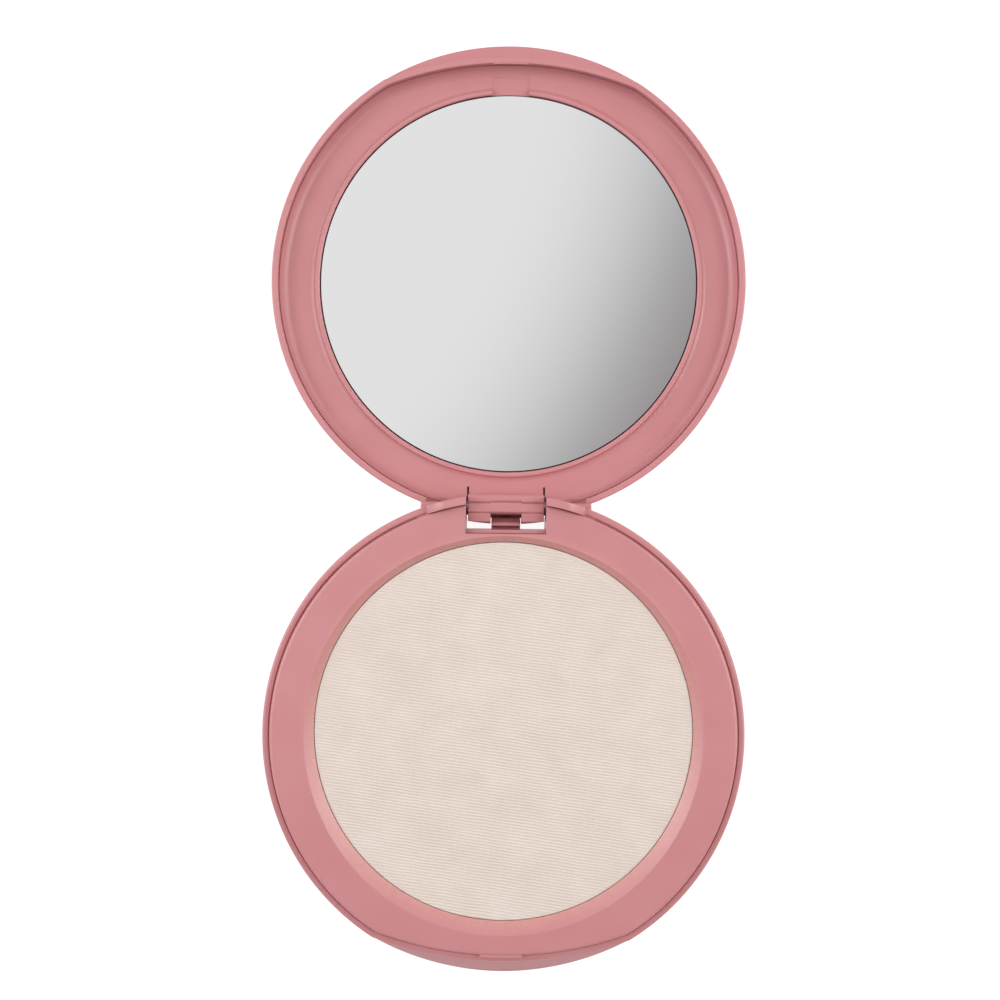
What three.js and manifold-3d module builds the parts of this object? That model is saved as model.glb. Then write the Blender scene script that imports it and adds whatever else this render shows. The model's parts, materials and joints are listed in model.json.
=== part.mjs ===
// A round pressed-powder compact, lying open at 180 degrees on its two outer faces.
// Frame: millimetres, +Z up, origin on the table under the middle of the hinge axis.
// The base lies towards -Y and the lid, which holds the mirror, towards +Y; the hinge axis runs along X.
import * as THREE from "three";
import { mergeVertices } from "three/addons/utils/BufferGeometryUtils.js";
import Module from "manifold-3d";

const wasm = await Module();
wasm.setup();

// ---- Driving dimensions, mm ----
const FIT_GAP = 0.3; // between pieces that touch on the real compact
const SEAM_GAP = 0.1; // how far each rim stops short of the seam plane

const PAN_RADIUS = 29.7; // standard 59 mm metal pan
const PAN_DEPTH = 4.4;
const PAN_WALL = 0.4;
const PAN_SHIFT = 0.65; // the pan sits this much nearer the hinge than the base's centre
const POWDER_CROWN = 0.15; // the cake stands this much proud of its pan
const PAN_DOT_RADIUS = 12;
const PAN_DOT_THICKNESS = 0.4;

const BASE_BORDER = 8.3; // from the pan's wall to the outline of the case
const CASE_WALL = 1; // side walls of both shells
const BASE_HEIGHT = 11; // table to seam
const BASE_SKIN = 1.2; // bottom of the base
const BASE_ROUND = [7, 6]; // width and height of the rounding under the base
const FOOT_WIDTH = 5; // flat ring that the base stands on
const FOOT_RISE = 0.6; // recess inside that ring
const LABEL_THICKNESS = 0.2;
const LABEL_MARGIN = 2; // from the recess's edge to the label's

const PLATFORM_RISE = 1.2; // the pan tray's top above the seam
const TRAY_PLATE = 1.2;
const TRAY_WALL = 0.8; // wall and floor of the pan well
const TRAY_SKIRT = 3.7; // how far the tray's outer wall reaches down
const TRAY_FOOT_RADIUS = 24; // ring that props the well on the base's floor
const BEVEL_WIDTH = 1.3; // slope between the well and the tray's flat top
const BEVEL_DROP = 0.9;
const EDGE_BREAK = 0.25; // small chamfer on rims
const TRAY_EDGE = 0.4;

const LID_HEIGHT = 6.5;
const LID_SKIN = 1;
const LID_ROUND = [6.5, 3.8]; // width and height of the rounding over the lid
const LID_BORDER = 7.55; // from the mirror's edge to the outline of the case
const TAPE_THICKNESS = 0.5;
const TAPE_MARGIN = 2.5;
const MIRROR_THICKNESS = 1.5;
const MIRROR_RECESS = 0.25; // gap between mirror and bezel
const BEZEL_WIDTH = 0.6;
const BEZEL_PROUD = 0.5; // bezel above the mirror's face
const CHANNEL_DROP = 0.2; // channel floor below the mirror's face
const FRAME_PLATE = 1;
const FRAME_FILLET = 1.3; // width of the fillet up to the lid's wall
const FRAME_LIP = 0.4;
const FRAME_CLEARANCE = 0.4; // between the frame's edge and the pan tray when the lid is shut
const FRAME_TUCK = 1.4; // the frame's underside rises this far in, to clear the lid's rounding

const HINGE_INSET = 2; // the axis lies this far inside the outline
const PIN_RADIUS = 0.75;
const PIN_CLEARANCE = 0.05;
const PIN_HALF_LENGTH = 9.2;
const TAB_WIDTH = 12; // the lid's hinge tab
const TAB_INNER_REACH = 1.8; // tab from the axis towards the mirror
const TAB_BULGE = 0.6; // the tab stands this much proud of the closed case's outline
const KNUCKLE_HEIGHT = 1.9; // top of the tab above the axis
const NOTCH_WIDTH = 4.9; // slot in the tab over the base's tongue
const NOTCH_DEPTH = 1.3; // what the slot cuts off the tab, from its outer face
const TONGUE_WIDTH = 4.6;
const TONGUE_REACH = 1.8; // tongue out of the front wall of the hinge cut-out
const TONGUE_DROP = 1.9; // its crest below the axis
const TONGUE_HEIGHT = 2.8;
const TONGUE_ROUND = 0.5; // rounding of the crest's tip
const TONGUE_CREST = 1.2; // length of the crest
const TONGUE_STEP = 1.3; // from the crest down to the tongue's root
const CUTOUT_WALL = 0.55; // front wall of the hinge cut-out
const HOUSING_HALF_WIDTH = 14;
const ARCH_HALF_WIDTH = 12.9; // opening in the lid's rear wall
const SLOT_LENGTH = 3.1; // slots beside the tab, from the axis into the lid

const SCOOP_HALF_WIDTH = 20.3; // thumb scoop at the front of both halves
const BASE_SCOOP = { inset: 2.3, lip: 0.7, depth: 3.5 };
const LID_SCOOP = { inset: 2, lip: 0.5, depth: 1.6 };

const CATCH_WIDTH = 6.7; // bead on the pan tray
const CATCH_REACH = 0.4;
const LUG_WIDTH = 5.6; // lug on the lid's rim
const LUG_REACH = 0.35;
const SNAP_HEIGHT = 0.35; // height of the bead and of the lug
const LUG_SLOT_WIDTH = 5.9;

const ROUND = 64; // facets of the large circles
const ARC_STEPS = 3;
const FAR = 90; // cutters reach past every piece

// ---- Sizes worked out from them ----
const CASE_RADIUS = PAN_RADIUS + BASE_BORDER;
const INNER_RADIUS = CASE_RADIUS - CASE_WALL;
const TRAY_RADIUS = INNER_RADIUS - FIT_GAP;
const AXIS_OFFSET = CASE_RADIUS - HINGE_INSET; // hinge axis from either half's centre
const AXIS_Z = (BASE_HEIGHT + LID_HEIGHT) / 2;

const BASE_FLOOR_Z = FOOT_RISE + BASE_SKIN;
const BASE_RIM_Z = BASE_HEIGHT - SEAM_GAP;
const TRAY_Z = BASE_HEIGHT + PLATFORM_RISE;
const TRAY_UNDER_Z = TRAY_Z - TRAY_PLATE;
const WELL_RADIUS = PAN_RADIUS + FIT_GAP;
const PAN_RIM_Z = TRAY_Z - BEVEL_DROP;
const PAN_Z = PAN_RIM_Z - PAN_DEPTH;
const DOT_Z = PAN_Z - FIT_GAP - PAN_DOT_THICKNESS;
const WELL_FLOOR_Z = DOT_Z - FIT_GAP;
const WELL_UNDER_Z = WELL_FLOOR_Z - TRAY_WALL;

const LID_RIM_Z = LID_HEIGHT - SEAM_GAP;
const TAPE_Z = LID_SKIN + FIT_GAP;
const MIRROR_Z = TAPE_Z + TAPE_THICKNESS + FIT_GAP;
const MIRROR_FACE_Z = MIRROR_Z + MIRROR_THICKNESS;
const CHANNEL_Z = MIRROR_FACE_Z - CHANNEL_DROP;
const FRAME_EDGE_Z = LID_HEIGHT - PLATFORM_RISE - FRAME_CLEARANCE;
const MIRROR_RADIUS = CASE_RADIUS - LID_BORDER;
const BEZEL_INNER = MIRROR_RADIUS + MIRROR_RECESS;
const BEZEL_OUTER = BEZEL_INNER + BEZEL_WIDTH;

const ARCH_RADIUS = AXIS_Z - CHANNEL_Z - FIT_GAP / 2; // about the hinge axis, in the lid
const BARREL_RADIUS = ARCH_RADIUS - FIT_GAP; // about the same axis, on the base
const BORE_RADIUS = PIN_RADIUS + PIN_CLEARANCE;
const CUTOUT_HALF_WIDTH = TAB_WIDTH / 2 + FIT_GAP;
const WELL_BACK = PAN_SHIFT + WELL_RADIUS + TRAY_WALL; // outer wall of the well, at the hinge side
const HOUSING_FRONT = WELL_BACK + FIT_GAP;
const CUTOUT_FRONT = HOUSING_FRONT + CUTOUT_WALL;
const TRAY_CUT = HOUSING_FRONT - FIT_GAP;

// ---- Solids ----
function solid(geometry) {
  const bare = geometry.index ? geometry.toNonIndexed() : geometry.clone();
  bare.deleteAttribute("normal");
  bare.deleteAttribute("uv");
  const merged = mergeVertices(bare, 1e-4);
  return new wasm.Manifold(
    new wasm.Mesh({
      numProp: 3,
      vertProperties: merged.attributes.position.array,
      triVerts: new Uint32Array(merged.index.array),
    }),
  );
}

// An outline in radius and height, turned about a vertical axis at centreY.
function revolve(outline, centreY = 0, facets = ROUND) {
  const points = outline.getPoints(ARC_STEPS);
  const geometry = new THREE.LatheGeometry(points, facets);
  return solid(geometry.rotateX(Math.PI / 2).translate(0, centreY, 0));
}

function outline(...corners) {
  const path = new THREE.Path();
  path.moveTo(...corners[0]);
  corners.slice(1).forEach((corner) => path.lineTo(...corner));
  return path;
}

function disc(radius, low, high, centreY = 0, facets = ROUND) {
  return revolve(outline([0, low], [radius, low], [radius, high], [0, high]), centreY, facets);
}

function ring(inner, outer, low, high, centreY = 0) {
  const path = outline([inner, low], [outer, low], [outer, high], [inner, high]);
  path.closePath();
  return revolve(path, centreY);
}

function box(x, y, z) {
  const geometry = new THREE.BoxGeometry(x[1] - x[0], y[1] - y[0], z[1] - z[0]);
  const middle = [x, y, z].map(([low, high]) => (low + high) / 2);
  return solid(geometry.translate(...middle));
}

// A cylinder along X about the hinge axis, in the frame of a half whose axis is at axisY.
function rod(radius, from, to, axisY, facets = 32) {
  const geometry = new THREE.CylinderGeometry(radius, radius, to - from, facets);
  return solid(geometry.rotateZ(Math.PI / 2).translate((from + to) / 2, axisY, AXIS_Z));
}

// A shape drawn in Y and Z about the hinge axis, drawn out along X.
function barAlongX(shape, halfWidth, axisY) {
  const geometry = new THREE.ExtrudeGeometry(shape, {
    depth: 2 * halfWidth,
    bevelEnabled: false,
    curveSegments: 12,
  });
  const turn = new THREE.Matrix4().makeBasis(
    new THREE.Vector3(0, 1, 0),
    new THREE.Vector3(0, 0, 1),
    new THREE.Vector3(1, 0, 0),
  );
  return solid(geometry.applyMatrix4(turn).translate(-halfWidth, axisY, AXIS_Z));
}

// ---- Thumb scoop ----
// The front edge is flattened to an arc of larger radius, whose centre lies behind the half's own.
// front is -1 on the base and +1 on the lid.
function scoopArc(scoop, front) {
  const apex = CASE_RADIUS - scoop.inset;
  const sag = apex - Math.sqrt(CASE_RADIUS ** 2 - SCOOP_HALF_WIDTH ** 2);
  const radius = (SCOOP_HALF_WIDTH ** 2 + sag ** 2) / (2 * sag);
  return { radius, centreY: front * (apex - radius) };
}

// What the scoop takes off a shell: straight at the lip, then a cove out to the full outline.
function scoopCutter(scoop, front, rimZ) {
  const arc = scoopArc(scoop, front);
  const lipZ = rimZ - scoop.lip;
  const lowZ = rimZ - scoop.depth;
  const path = new THREE.Path();
  path.moveTo(arc.radius, rimZ + 2);
  path.lineTo(arc.radius, lipZ);
  path.absellipse(
    arc.radius + scoop.inset,
    lipZ,
    scoop.inset,
    lipZ - lowZ,
    Math.PI,
    Math.PI * 1.5,
    false,
  );
  path.lineTo(FAR, lowZ);
  path.lineTo(FAR, rimZ + 2);
  path.closePath();
  return revolve(path, arc.centreY, 2 * ROUND);
}

// Everything further in than the flattened edge, less an inset for walls and gaps.
function behindScoop(scoop, front, inset) {
  const arc = scoopArc(scoop, front);
  return disc(arc.radius - inset, -FAR, FAR, arc.centreY, 2 * ROUND);
}

// ---- Base half, about its own centre; the hinge axis is at +AXIS_OFFSET ----
function baseShell() {
  const [roundWidth, roundHeight] = BASE_ROUND;
  const footOuter = CASE_RADIUS - roundWidth;
  const footInner = footOuter - FOOT_WIDTH;
  const outside = outline([0, FOOT_RISE], [footInner, FOOT_RISE], [footInner, 0], [footOuter, 0]);
  outside.absellipse(footOuter, roundHeight, roundWidth, roundHeight, -Math.PI / 2, 0, false);
  outside.lineTo(CASE_RADIUS, BASE_RIM_Z - EDGE_BREAK);
  outside.lineTo(CASE_RADIUS - EDGE_BREAK, BASE_RIM_Z);
  outside.lineTo(0, BASE_RIM_Z);
  const inside = outline([0, BASE_FLOOR_Z], [footOuter, BASE_FLOOR_Z]);
  inside.absellipse(
    footOuter,
    roundHeight,
    roundWidth - CASE_WALL,
    roundHeight - BASE_FLOOR_Z,
    -Math.PI / 2,
    0,
    false,
  );
  inside.lineTo(INNER_RADIUS, BASE_HEIGHT + 1);
  inside.lineTo(0, BASE_HEIGHT + 1);

  const housing = box(
    [-HOUSING_HALF_WIDTH, HOUSING_HALF_WIDTH],
    [HOUSING_FRONT, FAR],
    [-1, TRAY_UNDER_Z - FIT_GAP],
  );
  const hollow = revolve(inside)
    .intersect(behindScoop(BASE_SCOOP, -1, CASE_WALL))
    .subtract(housing);
  const barrelHalfWidth = ARCH_HALF_WIDTH - FIT_GAP;
  const barrel = rod(BARREL_RADIUS, -barrelHalfWidth, barrelHalfWidth, AXIS_OFFSET);
  const rearWall = ring(INNER_RADIUS, CASE_RADIUS, BASE_RIM_Z - 1, FAR)
    .intersect(box([-FAR, FAR], [0, FAR], [0, FAR]))
    .intersect(barrel);
  const openLid = disc(CASE_RADIUS + FIT_GAP, -1, AXIS_Z, 2 * AXIS_OFFSET).subtract(barrel);
  const cutout = box(
    [-CUTOUT_HALF_WIDTH, CUTOUT_HALF_WIDTH],
    [CUTOUT_FRONT, FAR],
    [-1, FAR],
  );

  const crest = -TONGUE_DROP;
  const root = CUTOUT_FRONT - AXIS_OFFSET;
  const tip = root + TONGUE_REACH;
  const tongue = new THREE.Shape();
  tongue.moveTo(root - CUTOUT_WALL / 2, crest - TONGUE_HEIGHT);
  tongue.lineTo(tip, crest - TONGUE_HEIGHT);
  tongue.lineTo(tip, crest - TONGUE_ROUND);
  tongue.quadraticCurveTo(tip, crest, tip - TONGUE_ROUND, crest);
  tongue.quadraticCurveTo(tip - TONGUE_CREST, crest, tip - TONGUE_CREST, crest - TONGUE_STEP);
  tongue.lineTo(root - CUTOUT_WALL / 2, crest - TONGUE_STEP);

  return revolve(outside)
    .subtract(hollow)
    .add(rearWall)
    .subtract(scoopCutter(BASE_SCOOP, -1, BASE_RIM_Z))
    .subtract(cutout)
    .add(barAlongX(tongue, TONGUE_WIDTH / 2, AXIS_OFFSET))
    .subtract(openLid)
    .subtract(rod(BORE_RADIUS, -PIN_HALF_LENGTH - PIN_CLEARANCE, FAR, AXIS_OFFSET, 16));
}

function panTray() {
  const top = outline(
    [0, TRAY_UNDER_Z],
    [TRAY_RADIUS, TRAY_UNDER_Z],
    [TRAY_RADIUS, TRAY_Z - TRAY_EDGE],
    [TRAY_RADIUS - TRAY_EDGE, TRAY_Z],
    [0, TRAY_Z],
  );
  const skirt = ring(TRAY_RADIUS - CASE_WALL, TRAY_RADIUS, TRAY_Z - TRAY_SKIRT, TRAY_Z - TRAY_EDGE);
  const frontArc = behindScoop(BASE_SCOOP, -1, CASE_WALL + FIT_GAP);
  const skirtFront = frontArc
    .subtract(behindScoop(BASE_SCOOP, -1, 2 * CASE_WALL + FIT_GAP))
    .intersect(disc(TRAY_RADIUS, TRAY_Z - TRAY_SKIRT, TRAY_Z - TRAY_EDGE))
    .intersect(box([-FAR, FAR], [-FAR, 0], [0, FAR]));
  const well = disc(WELL_RADIUS + TRAY_WALL, WELL_UNDER_Z, PAN_RIM_Z, PAN_SHIFT);
  const foot = ring(
    TRAY_FOOT_RADIUS,
    TRAY_FOOT_RADIUS + TRAY_WALL,
    BASE_FLOOR_Z + FIT_GAP,
    WELL_FLOOR_Z - TRAY_WALL / 2,
    PAN_SHIFT,
  );
  // The bevel's upper edge is round about the base's centre and its lower edge about the pan's,
  // so its cone leans. The cutter is twice as high as the bevel, to reach past the tray's top.
  const bevel = new THREE.LatheGeometry(
    outline(
      [0, 0],
      [WELL_RADIUS, 0],
      [WELL_RADIUS + 2 * BEVEL_WIDTH, 2 * BEVEL_DROP],
      [0, 2 * BEVEL_DROP],
    ).getPoints(),
    ROUND,
  ).rotateX(Math.PI / 2);
  const lean = new THREE.Matrix4().makeShear(0, 0, 0, 0, 0, -PAN_SHIFT / BEVEL_DROP);
  bevel.applyMatrix4(lean).translate(0, PAN_SHIFT, PAN_RIM_Z);
  const overHousing = box(
    [-HOUSING_HALF_WIDTH - FIT_GAP, HOUSING_HALF_WIDTH + FIT_GAP],
    [TRAY_CUT, FAR],
    [-1, TRAY_UNDER_Z],
  );
  const cutout = box([-CUTOUT_HALF_WIDTH, CUTOUT_HALF_WIDTH], [TRAY_CUT, FAR], [-1, FAR]);
  const beadTop = TRAY_Z - FIT_GAP / 2;
  const bead = behindScoop(BASE_SCOOP, -1, CASE_WALL + FIT_GAP - CATCH_REACH)
    .subtract(behindScoop(BASE_SCOOP, -1, 2 * CASE_WALL))
    .intersect(
      box([-CATCH_WIDTH / 2, CATCH_WIDTH / 2], [-FAR, 0], [beadTop - SNAP_HEIGHT, beadTop]),
    );

  return revolve(top)
    .add(skirt)
    .intersect(frontArc)
    .add(skirtFront)
    .add(well)
    .subtract(solid(bevel))
    .subtract(disc(WELL_RADIUS, WELL_FLOOR_Z, PAN_RIM_Z + BEVEL_DROP / 2, PAN_SHIFT))
    .add(foot)
    .add(bead)
    .subtract(overHousing)
    .subtract(cutout);
}

function powderPan() {
  const inner = PAN_RADIUS - PAN_WALL;
  const corner = 2 * PAN_WALL;
  return revolve(
    outline(
      [0, PAN_Z],
      [PAN_RADIUS - corner, PAN_Z],
      [PAN_RADIUS, PAN_Z + corner],
      [PAN_RADIUS, PAN_RIM_Z],
      [inner, PAN_RIM_Z],
      [inner, PAN_Z + corner + PAN_WALL / 2],
      [inner - corner, PAN_Z + PAN_WALL],
      [0, PAN_Z + PAN_WALL],
    ),
  );
}

function pressedPowder() {
  const radius = PAN_RADIUS - PAN_WALL - FIT_GAP;
  const low = PAN_Z + PAN_WALL + FIT_GAP;
  const corner = 3 * PAN_WALL;
  return revolve(
    outline(
      [0, low],
      [radius - corner, low],
      [radius, low + corner],
      [radius, PAN_RIM_Z],
      [radius - POWDER_CROWN, PAN_RIM_Z + POWDER_CROWN],
      [0, PAN_RIM_Z + POWDER_CROWN],
    ),
  );
}

function labelDisc() {
  const recess = CASE_RADIUS - BASE_ROUND[0] - FOOT_WIDTH;
  const high = FOOT_RISE - FIT_GAP;
  return disc(recess - LABEL_MARGIN, high - LABEL_THICKNESS, high);
}

// ---- Lid half, open, about its own centre; the hinge axis is at -AXIS_OFFSET ----
function lidCover() {
  const [roundWidth, roundHeight] = LID_ROUND;
  const flat = CASE_RADIUS - roundWidth;
  const outside = outline([0, 0], [flat, 0]);
  outside.absellipse(flat, roundHeight, roundWidth, roundHeight, -Math.PI / 2, 0, false);
  outside.lineTo(CASE_RADIUS, LID_RIM_Z - EDGE_BREAK);
  outside.lineTo(CASE_RADIUS - EDGE_BREAK, LID_RIM_Z);
  outside.lineTo(0, LID_RIM_Z);
  const inside = outline([0, LID_SKIN], [flat, LID_SKIN]);
  inside.absellipse(
    flat,
    roundHeight,
    roundWidth - CASE_WALL,
    roundHeight - LID_SKIN,
    -Math.PI / 2,
    0,
    false,
  );
  inside.lineTo(INNER_RADIUS, LID_HEIGHT + 1);
  inside.lineTo(0, LID_HEIGHT + 1);

  const lugTop = LID_RIM_Z - FIT_GAP / 2;
  const lug = behindScoop(LID_SCOOP, 1, CASE_WALL / 2)
    .subtract(behindScoop(LID_SCOOP, 1, CASE_WALL + LUG_REACH))
    .intersect(box([-LUG_WIDTH / 2, LUG_WIDTH / 2], [0, FAR], [lugTop - SNAP_HEIGHT, lugTop]));

  return revolve(outside)
    .subtract(revolve(inside).intersect(behindScoop(LID_SCOOP, 1, CASE_WALL)))
    .subtract(scoopCutter(LID_SCOOP, 1, LID_RIM_Z))
    .subtract(rod(ARCH_RADIUS, -ARCH_HALF_WIDTH, ARCH_HALF_WIDTH, -AXIS_OFFSET))
    .add(lug);
}

// The hinge tab: a rounded block about the axis, on a web that stands on the frame's floor.
function hingeTab() {
  const outerReach = HINGE_INSET + TAB_BULGE;
  const low = CHANNEL_Z - FRAME_PLATE / 2 - AXIS_Z;
  const block = new THREE.Shape();
  block.moveTo(-outerReach, low);
  block.lineTo(TAB_INNER_REACH, low);
  block.lineTo(TAB_INNER_REACH, 0);
  block.absellipse(0, 0, TAB_INNER_REACH, KNUCKLE_HEIGHT, 0, Math.PI / 2, false);
  block.absellipse(0, 0, outerReach, KNUCKLE_HEIGHT, Math.PI / 2, Math.PI, false);
  const barrel = rod(BARREL_RADIUS, -TAB_WIDTH, TAB_WIDTH, -AXIS_OFFSET);
  const web = box(
    [-TAB_WIDTH / 2, TAB_WIDTH / 2],
    [-AXIS_OFFSET + TAB_INNER_REACH / 4, -AXIS_OFFSET + TAB_INNER_REACH],
    [CHANNEL_Z - FRAME_PLATE / 2, AXIS_Z - KNUCKLE_HEIGHT],
  );
  const notch = box(
    [-NOTCH_WIDTH / 2, NOTCH_WIDTH / 2],
    [-FAR, NOTCH_DEPTH - CASE_RADIUS - TAB_BULGE],
    [-1, FAR],
  );
  return barAlongX(block, TAB_WIDTH / 2, -AXIS_OFFSET)
    .intersect(barrel)
    .add(web)
    .intersect(disc(CASE_RADIUS + TAB_BULGE, 0, FAR))
    .subtract(notch)
    .subtract(rod(BORE_RADIUS, -TAB_WIDTH, TAB_WIDTH, -AXIS_OFFSET, 16));
}

function mirrorFrame() {
  const filletOuter = TRAY_RADIUS - FRAME_LIP;
  const section = outline(
    [BEZEL_INNER, TAPE_Z],
    [BEZEL_OUTER, TAPE_Z],
    [BEZEL_OUTER, CHANNEL_Z - FRAME_PLATE],
    [TRAY_RADIUS - FRAME_TUCK, CHANNEL_Z - FRAME_PLATE],
    [TRAY_RADIUS, CHANNEL_Z],
    [TRAY_RADIUS, FRAME_EDGE_Z],
    [filletOuter, FRAME_EDGE_Z],
  );
  section.absellipse(
    filletOuter - FRAME_FILLET,
    FRAME_EDGE_Z,
    FRAME_FILLET,
    FRAME_EDGE_Z - CHANNEL_Z,
    0,
    -Math.PI / 2,
    true,
  );
  section.lineTo(BEZEL_OUTER, CHANNEL_Z);
  section.lineTo(BEZEL_OUTER, MIRROR_FACE_Z + BEZEL_PROUD - EDGE_BREAK);
  section.lineTo(BEZEL_OUTER - EDGE_BREAK, MIRROR_FACE_Z + BEZEL_PROUD);
  section.lineTo(BEZEL_INNER, MIRROR_FACE_Z + BEZEL_PROUD);
  section.closePath();

  const lugSlot = box(
    [-LUG_SLOT_WIDTH / 2, LUG_SLOT_WIDTH / 2],
    [BEZEL_INNER - 1, FAR],
    [CHANNEL_Z - EDGE_BREAK / 2, FAR],
  );
  const arch = rod(ARCH_RADIUS, -ARCH_HALF_WIDTH, ARCH_HALF_WIDTH, -AXIS_OFFSET);
  const slots = [-1, 1].map((side) => {
    const edges = [side * (TAB_WIDTH / 2), side * CUTOUT_HALF_WIDTH].sort((a, b) => a - b);
    return box(edges, [-FAR, SLOT_LENGTH - AXIS_OFFSET], [-1, FAR]);
  });
  return revolve(section)
    .intersect(behindScoop(LID_SCOOP, 1, CASE_WALL + FIT_GAP))
    .subtract(lugSlot)
    .subtract(arch)
    .subtract(slots[0])
    .subtract(slots[1])
    .add(hingeTab());
}

// ---- Finishes ----
function finish(color, roughness, metalness = 0) {
  return new THREE.MeshStandardMaterial({ color, roughness, metalness });
}
const rosePlastic = finish("#cb8b8c", 0.42);
const aluminium = finish("#c9c9cb", 0.35, 1);
const powder = finish("#e0ccc4", 0.95);
const adhesive = finish("#e9e4d6", 0.7);
const paper = finish("#efe6e4", 0.6);
const steel = finish("#a9abb0", 0.3, 1);
const silvered = finish("#e4e4e4", 0.03, 1);

// ---- Assembly ----
function piece(name, made, material) {
  const { vertProperties, triVerts } = made.getMesh();
  const geometry = new THREE.BufferGeometry();
  geometry.setAttribute("position", new THREE.BufferAttribute(vertProperties, 3));
  geometry.setIndex(new THREE.BufferAttribute(triVerts, 1));
  geometry.computeVertexNormals();
  const mesh = new THREE.Mesh(geometry, material);
  mesh.name = name;
  return mesh;
}

const base = new THREE.Group();
base.position.y = -AXIS_OFFSET;
base.add(piece("base_shell", baseShell(), rosePlastic));
base.add(piece("pan_tray", panTray(), rosePlastic));
base.add(piece("base_label", labelDisc(), paper));

const refill = new THREE.Group();
refill.position.y = PAN_SHIFT;
refill.add(piece("powder_pan", powderPan(), aluminium));
refill.add(piece("pressed_powder", pressedPowder(), powder));
refill.add(
  piece("pan_adhesive", disc(PAN_DOT_RADIUS, DOT_Z, DOT_Z + PAN_DOT_THICKNESS), adhesive),
);
base.add(refill);

const lid = new THREE.Group();
lid.position.y = AXIS_OFFSET;
lid.add(piece("lid_cover", lidCover(), rosePlastic));
lid.add(piece("mirror_frame", mirrorFrame(), rosePlastic));
lid.add(piece("mirror", disc(MIRROR_RADIUS, MIRROR_Z, MIRROR_FACE_Z), silvered));
lid.add(
  piece("mirror_tape", disc(MIRROR_RADIUS - TAPE_MARGIN, TAPE_Z, TAPE_Z + TAPE_THICKNESS), adhesive),
);

const pin = piece("hinge_pin", rod(PIN_RADIUS, -PIN_HALF_LENGTH, PIN_HALF_LENGTH, 0, 16), steel);

const group = new THREE.Group();
group.add(base, lid, pin);
export default group;
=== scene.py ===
"""Smooth shells, ribbed powder cake, mirror and studio for a round powder compact, lying open."""

import json
import math

import bmesh
import bpy
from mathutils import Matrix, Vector


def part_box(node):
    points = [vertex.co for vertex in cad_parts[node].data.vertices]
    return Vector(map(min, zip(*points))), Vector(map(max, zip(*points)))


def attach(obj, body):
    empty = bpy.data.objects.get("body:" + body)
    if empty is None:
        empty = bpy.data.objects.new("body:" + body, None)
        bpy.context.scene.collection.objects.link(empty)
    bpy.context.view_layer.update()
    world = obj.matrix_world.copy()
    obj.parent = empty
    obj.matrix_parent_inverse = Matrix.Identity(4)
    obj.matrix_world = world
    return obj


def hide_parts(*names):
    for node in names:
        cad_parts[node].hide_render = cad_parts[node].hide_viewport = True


bl_info = {
    "name": "Powder Compact",
    "version": (1, 0, 0),
    "blender": (4, 5, 0),
    "location": "View3D > Sidebar > Compact",
    "description": "Builds the pieces of an open powder compact and the studio round it",
    "category": "Object",
}

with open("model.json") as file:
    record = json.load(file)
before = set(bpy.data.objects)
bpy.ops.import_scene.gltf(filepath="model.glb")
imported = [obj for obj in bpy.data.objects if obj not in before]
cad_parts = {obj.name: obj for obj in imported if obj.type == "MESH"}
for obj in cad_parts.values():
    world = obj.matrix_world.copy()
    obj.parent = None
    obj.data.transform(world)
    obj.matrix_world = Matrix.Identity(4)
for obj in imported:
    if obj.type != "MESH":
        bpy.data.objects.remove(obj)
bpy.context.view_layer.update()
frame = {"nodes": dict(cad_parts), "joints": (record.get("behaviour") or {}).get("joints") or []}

MM = 0.001
FAR = 90 * MM  # cutters reach past every piece
SEGMENTS = 256  # round the large circles
ARC_STEPS = 6  # in each rounded corner
QUARTER_STEPS = 18  # in each elliptical quarter
LIP_MARGIN = 0.01 * MM  # round the lip of a scoop, between the shell and its cutter
FINE, SOFT, BROAD = 0.12 * MM, 0.2 * MM, 0.3 * MM  # roundings of small edges
HOLD = 0.12 * MM  # a loop this close to a rounding keeps the flat beside it flat
SHARP = math.radians(28)  # edges sharper than this stay crisp

# ---- Places and sizes that the frame gives ----
SHELL_LOW, SHELL_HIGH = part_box("base_shell")
TRAY_LOW, TRAY_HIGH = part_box("pan_tray")
PAN_LOW, PAN_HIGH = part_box("powder_pan")
POWDER_LOW, POWDER_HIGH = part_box("pressed_powder")
COVER_LOW, COVER_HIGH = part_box("lid_cover")
BEZEL_LOW, BEZEL_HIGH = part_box("mirror_frame")
MIRROR_LOW, MIRROR_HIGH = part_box("mirror")
LABEL_LOW, LABEL_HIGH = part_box("base_label")

CASE_RADIUS = SHELL_HIGH.x
BASE_CENTRE = SHELL_LOW.y + CASE_RADIUS
LID_CENTRE = COVER_HIGH.y - CASE_RADIUS
PAN_RADIUS = PAN_HIGH.x
PAN_CENTRE = (PAN_LOW.y + PAN_HIGH.y) / 2
PAN_SHIFT = PAN_CENTRE - BASE_CENTRE
TRAY_RADIUS = TRAY_HIGH.x
TRAY_TOP = TRAY_HIGH.z
LID_RIM = COVER_HIGH.z
AXIS_Z = frame["joints"][0]["pos_m"][2]


# ---- Sizes and colours that a user may change ----
def length(name, description, millimetres):
    """A length, kept in metres and given here in millimetres."""
    return bpy.props.FloatProperty(
        name=name,
        description=description,
        default=millimetres * MM,
        min=0.0,
        precision=5,
        unit="LENGTH",
    )


def linear(code):
    """The linear red, green, blue and alpha of an sRGB hex code."""
    parts = [int(code[i : i + 2], 16) / 255 for i in (1, 3, 5)]
    return [p / 12.92 if p <= 0.04045 else ((p + 0.055) / 1.055) ** 2.4 for p in parts] + [1.0]


def colour(name, description, code):
    """A colour, kept linear and given here as an sRGB hex code."""
    return bpy.props.FloatVectorProperty(
        name=name,
        description=description,
        default=linear(code),
        size=4,
        min=0.0,
        max=1.0,
        subtype="COLOR",
    )


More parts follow.
